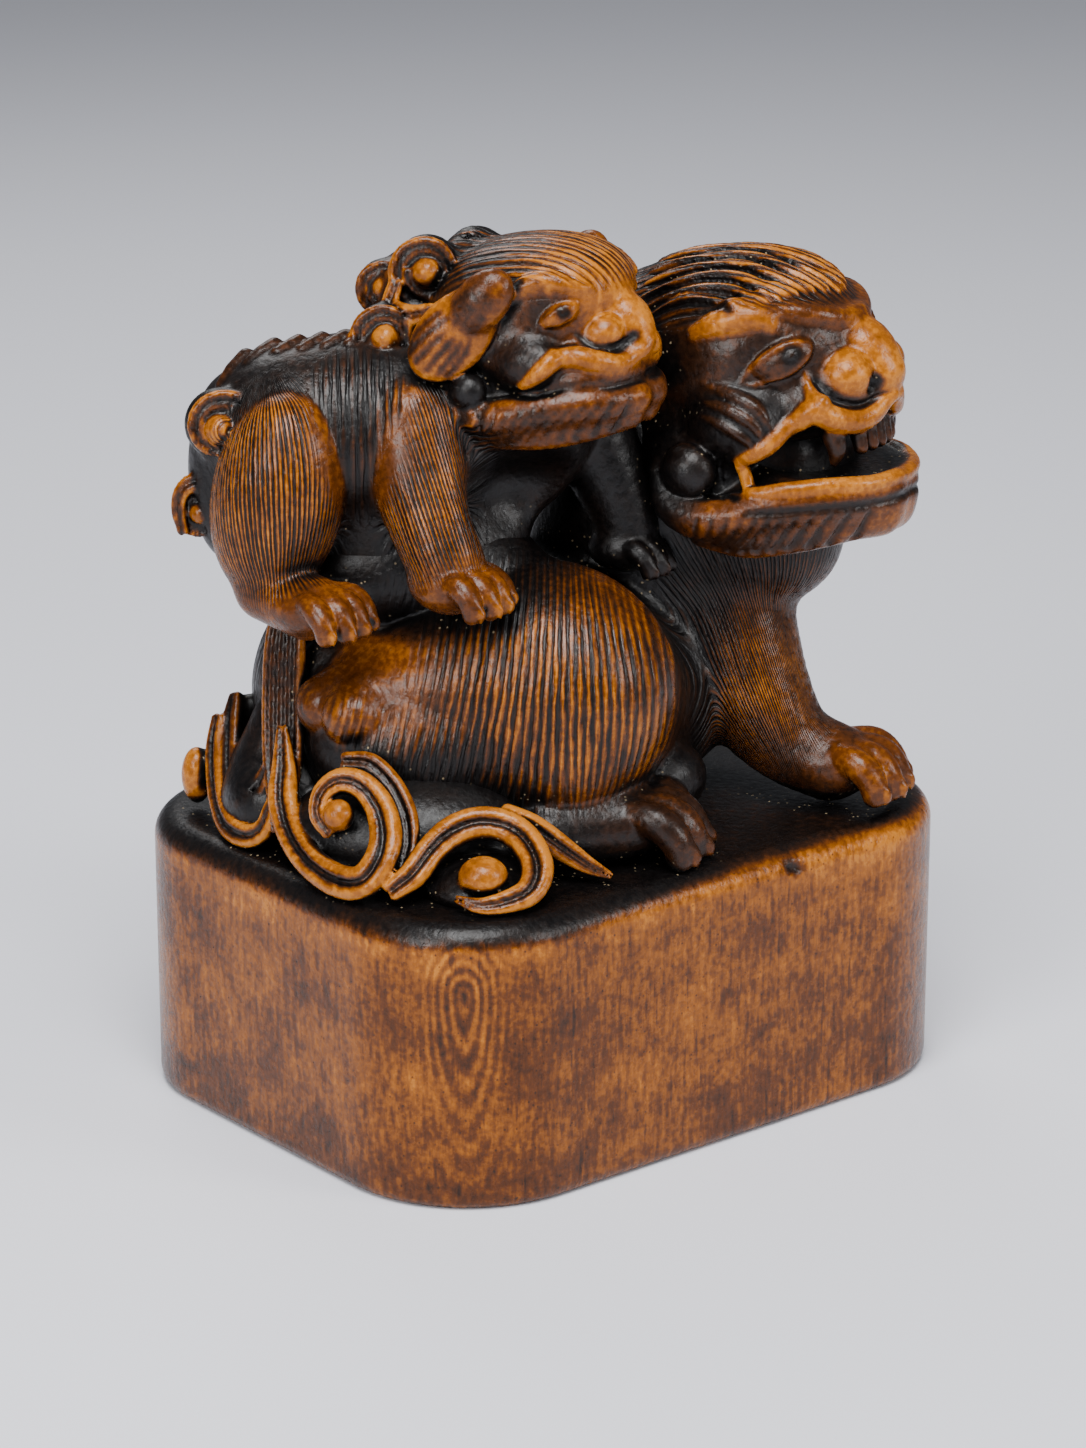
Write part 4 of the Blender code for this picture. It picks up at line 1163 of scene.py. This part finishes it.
    def lips(self, head: Place) -> None:
        """The groove round the nose, the upper lip that climbs to it and the line of the shut mouth."""
        clay = self.clay
        clay.stroke(head, [
            (3.7, 2.6, 0.4, 0.1), (4.5, 2.5, -0.35, 0.22), (5.3, 1.7, -0.4, 0.26), (5.7, 0.9, 0.0, 0.15)],
            rise=0.9, blend=0.08, stain=SOOT, cut=True)
        clay.egg(head, (3.0, 0.0, -1.7), (2.6, 3.6, 1.2), blend=0.3, stain=WARM)
        clay.stroke(head, [
            (1.6, 4.5, -1.5, 0.3), (2.7, 4.2, -0.7, 0.48), (3.6, 3.5, -0.3, 0.52), (4.6, 2.9, -0.8, 0.55),
            (5.4, 1.7, -1.2, 0.5), (5.8, 0.7, -0.9, 0.45), (6.0, 0.2, -0.4, 0.2)], rise=0.75, blend=0.1,
            stain=HONEY)
        clay.stroke(head, [
            (1.2, 4.5, -1.9, 0.1), (2.1, 4.2, -2.0, 0.16), (3.3, 3.5, -1.75, 0.2), (4.4, 2.6, -1.8, 0.2),
            (5.1, 1.6, -2.1, 0.2), (5.8, 0.1, -2.0, 0.2)], rise=0.9, blend=0.08, stain=SOOT, cut=True)

    def ear(self, head: Place) -> None:
        """A hanging ear, fanned from its root and grooved lengthwise."""
        clay = self.clay
        clay.egg(head, (-1.3, 5.2, 1.1), (2.6, 0.75, 1.65), turn=-20.0, tilt=41.0, blend=0.12, stain=HONEY)
        clay.egg(head, (0.4, 5.1, 2.6), (1.7, 0.85, 1.2), turn=-20.0, tilt=41.0, blend=0.4, stain=WARM)
        for groove in range(self.ear_grooves):
            share = groove / (self.ear_grooves - 1.0) - 0.5
            clay.stroke(head, [
                (1.0 + 0.9 * share, 6.2, 3.1 - 0.9 * share, 0.05),
                (-0.6 + 2.0 * share, 6.5, 1.5 - 1.8 * share, 0.1),
                (-2.6 + 2.6 * share, 6.3, -0.1 - 2.0 * share, 0.1)], rise=0.6, blend=0.05, stain=BROWN,
                cut=True, steps=3)
        clay.egg(head, (-1.1, 4.9, -1.6), (0.9, 0.8, 0.9), blend=0.15, stain=SOOT)

    def beard(self, head: Place) -> None:
        """The cuts that part the beard into locks, swept back to the jaw."""
        for cut in range(self.beard_cuts):
            share = cut / (self.beard_cuts - 1.0)
            forward = 5.4 - 6.2 * share
            wide = 4.9 * math.sqrt(max(0.0, 1.0 - ((forward - 0.3) / 5.6) ** 2))
            self.clay.stroke(head, [
                (forward + 0.7, wide, -2.6, 0.05), (forward - 0.1 * share, wide, -3.3, 0.14),
                (forward - 0.7 - 0.9 * share, wide, -4.4, 0.18)], rise=0.8, blend=0.06, stain=BROWN,
                cut=True, steps=3)

    def mane(self) -> None:
        """The curls of the mane behind the head."""
        clay = self.clay
        clay.egg(SHOW, (-3.2, 1.4, 26.8), (1.8, 1.6, 1.4), blend=0.3, stain=BROWN)
        clay.egg(SHOW, (-5.6, 0.6, 25.0), (2.6, 2.6, 2.5), stain=BROWN)
        clay.egg(SHOW, (-6.6, 2.2, 23.0), (2.0, 2.2, 2.2), stain=SOOT)
        clay.egg(SHOW, (-5.4, -2.0, 22.6), (2.8, 2.4, 3.4), blend=1.2)
        for lock in range(self.nape_locks):
            clay.stroke(SHOW, [
                (-2.6 - 1.2 * lock, -0.6, 26.0, 0.2), (-3.0 - 1.25 * lock, -3.6, 24.2, 0.45),
                (-3.0 - 1.1 * lock, -4.2, 22.2, 0.45), (-3.8 - 1.0 * lock, -3.6, 20.2, 0.2)], rise=0.6,
                blend=0.1, stain=WARM)
        curl(clay, (-7.5, 1.6, 25.6), 1.25, -40.0, -1.3)
        curl(clay, (-5.45, 3.3, 26.7), 1.6, -60.0, -1.35)
        curl(clay, (-7.35, 4.6, 23.9), 1.5, -70.0, -1.2)
        curl(clay, (-3.2, 1.8, 27.1), 1.35, -20.0, -1.1)
        clay.lock(SHOW, [
            (-8.7, 4.0, 23.6, 0.3), (-8.5, 4.4, 22.5, 0.5), (-7.5, 5.2, 21.8, 0.55),
            (-6.2, 5.9, 21.8, 0.4)], (-0.2, 0.9, -0.2))
        clay.lock(SHOW, [
            (-6.9, 3.2, 26.2, 0.35), (-7.1, 3.6, 25.2, 0.45), (-6.2, 4.3, 24.9, 0.5),
            (-5.0, 4.9, 25.3, 0.35)], (-0.2, 0.9, 0.2))


def linear(code: str) -> tuple[float, float, float, float]:
    """A colour for a shader from its sRGB hex code: each part c becomes ((c + 0.055) / 1.055) ** 2.4."""
    parts = [int(code[start:start + 2], 16) / 255.0 for start in (1, 3, 5)]
    return (*(part / 12.92 if part <= 0.04045 else ((part + 0.055) / 1.055) ** 2.4 for part in parts), 1.0)


class Shading:
    """Adds nodes to one material's tree."""

    def __init__(self, tree: bpy.types.NodeTree) -> None:
        """Work in `tree`."""
        self.tree = tree

    def add(self, kind: str, inputs: dict | None = None, **settings) -> bpy.types.Node:
        """Add a node.

        Args:
            kind: the node's type name, without its ShaderNode prefix.
            inputs: what each input, by name or number, is set to or linked from.
            settings: values of the node's own properties.

        Returns:
            The node.
        """
        made = self.tree.nodes.new("ShaderNode" + kind)
        for name, value in settings.items():
            setattr(made, name, value)
        for key, value in (inputs or {}).items():
            if isinstance(value, bpy.types.Node):
                value = value.outputs[0]
            if isinstance(value, bpy.types.NodeSocket):
                self.tree.links.new(value, made.inputs[key])
            else:
                made.inputs[key].default_value = value
        return made

    def times(self, first: Value, second: Value) -> bpy.types.Node:
        """The product of two values."""
        return self.add("Math", {0: first, 1: second}, operation="MULTIPLY")

    def total(self, *values: Value) -> Value:
        """The sum of all the values, added in their order."""
        result = values[0]
        for value in values[1:]:
            result = self.add("Math", {0: result, 1: value}, operation="ADD")
        return result

    def spread(self, value: Value, low: float, high: float, first: float = 0.0,
               last: float = 1.0) -> bpy.types.Node:
        """`first` where the value is `low`, `last` where it is `high`, a slope between and flat beyond."""
        return self.add("MapRange", {0: value, 1: low, 2: high, 3: first, 4: last})

    def noise(self, place: Value, scale: float, detail: float, rough: float = 0.5) -> bpy.types.NodeSocket:
        """Cloudy noise about one half, `scale` clouds to a millimetre."""
        inputs = {"Vector": place, "Scale": scale, "Detail": detail, "Roughness": rough}
        return self.add("TexNoise", inputs).outputs[0]


@dataclass(frozen=True)
class Boxwood:
    """Old stained boxwood: the stain stays in the cuts and is rubbed away to honey on what stands out.

    The eye gets a satin skin, nearly black in the hollows, where the stain is kept and painted shade darkens
    it further, brown on the flanks and golden on the ridges, with fine hair cuts that hold the stain, pale
    dust in the hollows, and on the bare block the wood's own figure.
    A lift or a shade is how far a feature moves the tone along the ramp, from black at 0 to pale gold at 1.
    """

    name: str
    ramp: tuple[tuple[float, str], ...] = (
        (0.0, "#060404"), (0.2, "#100805"), (0.42, "#271306"), (0.66, "#522805"), (0.9, "#8C4E06"),
        (1.0, "#A8661A"))
    dust: str = "#8C7B60"
    roughness: tuple[float, float] = (0.36, 0.24)
    specular: float = 0.27
    # How far the hollow darkens the tone as painted shade
    rubbed_lift: float = 0.26
    painted_hollow_shade: float = 0.3
    hair_pitch: float = 0.4
    hair_shade: float = 0.55
    ridge_lift: float = 0.25
    mottle: float = 0.12
    grime: float = 0.1
    ring_width: float = 0.4
    ring_shade: float = 0.17
    pore_shade: float = 0.28
    scratch_shade: float = 0.13
    rim_lift: float = 0.14
    foot_shade: float = 0.1
    # Millimetres that the knot lies right of, away from and above the origin, as the camera sees it
    knot: Triple = (-3.65, -18.4, 10.6)

    def material(self) -> bpy.types.Material:
        """Build the shader from the stain, hollow and wear attribute, the hair attribute and object
        coordinates.
        """
        made = bpy.data.materials.new(self.name)
        made.use_nodes = True
        shade, shader = Shading(made.node_tree), made.node_tree.nodes["Principled BSDF"]
        finish_and_shade = shade.add("Attribute", attribute_name="finish_and_shade").outputs["Vector"]
        stain, hollow, wear = shade.add("SeparateXYZ", {0: finish_and_shade}).outputs
        place = shade.add("TexCoord").outputs["Object"]
        place = shade.add("VectorMath", {0: place, "Scale": 1.0 / MM}, operation="SCALE")
        broad, fine = shade.noise(place, 0.45, 4.0), shade.noise(place, 3.2, 5.0)
        groove, ridge = self.hairs(shade)
        tone = shade.total(
            shade.times(stain, shade.spread(hollow, 0.38, 0.95, 1.0, 0.05)),
            shade.spread(wear, 0.5, 0.95, 0.0, self.rubbed_lift),
            # Painted shade: the hollow darkens the tone again in recesses and between the parts
            shade.spread(hollow, 0.5, 1.0, 0.0, -self.painted_hollow_shade),
            shade.spread(broad, 0.3, 0.7, -self.mottle, self.mottle),
            shade.spread(fine, 0.3, 0.7, -self.grime, self.grime),
            shade.times(ridge, self.ridge_lift), shade.times(groove, -self.hair_shade),
            self.plain_wood(shade, place))
        ramp = shade.add("ValToRGB", {0: tone})
        stops = ramp.color_ramp.elements
        while len(stops) < len(self.ramp):
            stops.new(0.5)
        for stop, (position, code) in zip(stops, self.ramp):
            stop.position, stop.color = position, linear(code)
        specks = shade.add("TexVoronoi", {"Vector": place, "Scale": 2.4}).outputs["Distance"]
        dust = shade.times(shade.times(shade.spread(specks, 0.16, 0.1), shade.spread(hollow, 0.36, 0.55)),
                           shade.spread(broad, 0.4, 0.5))
        colour = shade.add("Mix", {0: dust, 6: ramp, 7: linear(self.dust)}, data_type="RGBA")
        rough = shade.total(shade.spread(tone, 0.1, 0.7, *self.roughness),
                            shade.spread(fine, 0.3, 0.7, -0.06, 0.1))
        height = shade.total(shade.times(fine, 0.04), shade.times(groove, -0.06))
        bump = shade.add("Bump", {"Height": height, "Distance": MM})
        for source, name in ((colour.outputs[2], "Base Color"), (rough.outputs[0], "Roughness"),
                             (bump.outputs[0], "Normal")):
            made.node_tree.links.new(source, shader.inputs[name])
        shader.inputs["Specular IOR Level"].default_value = self.specular
        return made

    def hairs(self, shade: Shading) -> tuple[bpy.types.Node, bpy.types.Node]:
        """The cut hairs: how far each point is in a groove, and on a rubbed ridge, from zero to one.

        The distance across the hairs is warped by noise drawn out along them, and folded at the pitch.

        Args:
            shade: adds the nodes.

        Returns:
            The groove's node and the ridge's.
        """
        hair = shade.add("Attribute", attribute_name="hair").outputs["Vector"]
        across, along, strength = shade.add("SeparateXYZ", {0: hair}).outputs
        drawn_out = shade.add("CombineXYZ", {0: shade.times(across, 2.2), 1: shade.times(along, 0.35)})
        streak = shade.noise(drawn_out, 1.6, 3.0)
        warped = shade.add("Math", {0: streak, 1: 0.36, 2: across}, operation="MULTIPLY_ADD")
        fold = shade.add("Math", {0: warped, 1: self.hair_pitch / 2.0}, operation="PINGPONG")
        groove = shade.spread(fold, 0.3 * self.hair_pitch, 0.1 * self.hair_pitch)
        ridge = shade.spread(fold, 0.32 * self.hair_pitch, 0.5 * self.hair_pitch)
        broken = shade.times(groove, shade.spread(streak, 0.3, 0.6, 0.4, 1.0))
        return shade.times(broken, strength), shade.times(ridge, strength)

    def plain_wood(self, shade: Shading, place: bpy.types.Node) -> bpy.types.Node:
        """The change of tone over the block's bare sides, nothing above them.

        Growth rings stand round a knot at the near corner, drawn out like a flame, a little upwards and far
        downwards. Over them lie fine upright grain, broad patches where the wood is paler, slanting
        scratches and dark pores. The rim is rubbed to honey and the foot is darker.

        Args:
            shade: adds the nodes.
            place: the place on the wood in millimetres.

        Returns:
            The change's node.
        """
        height = shade.add("SeparateXYZ", {0: place}).outputs[2]
        level = shade.add("Mapping", {"Vector": place, "Rotation": (0.0, 0.0, SHOW_SIDE_TURN)})
        level = shade.add("VectorMath", {0: level, 1: self.knot}, operation="SUBTRACT")
        over, away, up = shade.add("SeparateXYZ", {0: level}).outputs
        up = shade.add("Math", {0: shade.times(up, 0.62), 1: shade.times(up, 0.24)}, operation="MAXIMUM")
        wave = {"Vector": shade.add("CombineXYZ", {0: over, 2: up}), "Scale": 0.314 / self.ring_width,
                "Distortion": 1.8, "Detail": 3.0, "Detail Scale": 1.0}
        rings = shade.add("TexWave", wave, wave_type="RINGS", rings_direction="Y")
        near = shade.add("CombineXYZ", {0: over, 1: shade.times(away, 0.1), 2: up})
        near = shade.add("VectorMath", {0: near}, operation="LENGTH").outputs["Value"]
        drawn = shade.add("Mapping", {"Vector": place, "Scale": (3.0, 3.0, 0.5)})
        slanted = shade.add("Mapping", {"Vector": place, "Rotation": (0.5, 0.6, 0.4),
                                        "Scale": (5.0, 0.4, 0.4)})
        pores = shade.add("TexVoronoi", {"Vector": place, "Scale": 2.2}).outputs["Distance"]
        change = shade.total(
            shade.times(shade.spread(rings, 0.0, 1.0, -self.ring_shade, 0.1),
                        shade.spread(near, 0.9, 2.4, 1.0, 0.2)),
            shade.spread(shade.noise(drawn, 1.4, 5.0, 0.7), 0.3, 0.7, -0.12, 0.1),
            shade.spread(shade.noise(place, 0.12, 3.0), 0.4, 0.68, 0.15, 0.02),
            shade.spread(shade.noise(slanted, 0.8, 2.0), 0.64, 0.7, 0.0, -self.scratch_shade),
            shade.spread(pores, 0.13, 0.08, 0.0, -self.pore_shade),
            shade.spread(near, 0.5, 0.0, 0.0, -0.15),
            shade.spread(height, 5.0, 1.2, 0.0, -self.foot_shade),
            shade.spread(height, 11.0, 12.8, 0.0, self.rim_lift))
        return shade.times(change, shade.spread(height, BLOCK.height - 0.2, BLOCK.height - 0.7))


@dataclass(frozen=True)
class Lamp:
    """A soft square studio light aimed at the netsuke; sizes and places in millimetres."""

    name: str
    place: Triple
    size: float
    watts: float
    aim: Triple = (0.0, 0.0, 18.0)

    def hang(self) -> None:
        """Put the light in the scene."""
        light = bpy.data.lights.new(self.name, "AREA")
        light.size, light.energy = self.size * MM, self.watts
        lamp = bpy.data.objects.new(self.name, light)
        lamp.location = [value * MM for value in self.place]
        sight = metres(self.aim) - metres(self.place)
        lamp.rotation_euler = sight.to_track_quat("-Z", "Y").to_euler()
        bpy.context.scene.collection.objects.link(lamp)


def metres(place: Triple) -> Vector:
    """A place in millimetres as a vector in metres."""
    return Vector(place) * MM


@dataclass(frozen=True)
class Studio:
    """Pale paper, soft lights and the camera of the photograph."""

    azimuth: float = -39.28
    elevation: float = 18.03
    distance: float = 207.16
    target: Triple = (-4.03, -4.79, 19.55)
    lens: float = 109.39
    paper: str = "#DFE0E8"
    paper_size: float = 2800.0
    air: str = "#BFC2CA"
    air_strength: float = 0.3
    lamps: tuple[Lamp, ...] = (
        Lamp("overhead", (-90.0, -110.0, 270.0), 150.0, 1.32),
        Lamp("left", (-260.0, -80.0, 130.0), 110.0, 0.52),
        Lamp("right", (130.0, -280.0, 150.0), 110.0, 0.5),
        Lamp("behind", (60.0, 170.0, 190.0), 110.0, 0.18),
    )

    def floor(self) -> None:
        """A big sheet of pale grey paper."""
        half = self.paper_size * MM / 2.0
        mesh = bpy.data.meshes.new("floor")
        mesh.from_pydata([(x * half, y * half, 0.0) for x, y in ((-1, -1), (1, -1), (1, 1), (-1, 1))], [],
                         [(0, 1, 2, 3)])
        paper = bpy.data.materials.new("grey_paper")
        paper.use_nodes = True
        tree = paper.node_tree
        shader = tree.nodes["Principled BSDF"]
        shader.inputs["Base Color"].default_value = linear(self.paper)
        shader.inputs["Roughness"].default_value = 0.85
        mesh.materials.append(paper)
        sheet = bpy.data.objects.new("floor", mesh)
        bpy.context.scene.collection.objects.link(sheet)

    def world(self) -> None:
        """Even grey light from all round."""
        sky = bpy.data.worlds.new("studio")
        sky.use_nodes = True
        background = sky.node_tree.nodes["Background"]
        background.inputs["Color"].default_value = linear(self.air)
        background.inputs["Strength"].default_value = self.air_strength
        bpy.context.scene.world = sky

    def camera(self) -> None:
        """The camera: `distance` from the target, back along the line of sight."""
        turn, rise = math.radians(self.azimuth), math.radians(self.elevation)
        back = (math.sin(turn) * math.cos(rise), -math.cos(turn) * math.cos(rise), math.sin(rise))
        data = bpy.data.cameras.new("camera")
        data.lens, data.sensor_width, data.clip_start = self.lens, 36.0, 0.001
        eye_point = bpy.data.objects.new("camera", data)
        eye_point.location = metres(self.target) + metres(back) * self.distance
        eye_point.rotation_euler = metres(back).to_track_quat("Z", "Y").to_euler()
        bpy.context.scene.collection.objects.link(eye_point)
        bpy.context.scene.camera = eye_point

    def set_up(self) -> None:
        """Build all of it."""
        self.floor()
        self.world()
        self.camera()
        for lamp in self.lamps:
            lamp.hang()


def main() -> None:
    """Carve the pieces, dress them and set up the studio."""
    logging.basicConfig(level=logging.INFO, format="%(message)s")
    pieces = [BlockCarving(), ParentBody(), ParentHead(), Cub(), TailCarving()]
    wood = Boxwood("stained_boxwood").material()
    for piece in pieces:
        piece.build([other.clay for other in pieces], "stained_boxwood", wood)
    Studio().set_up()


if __name__ == "__main__":
    main()
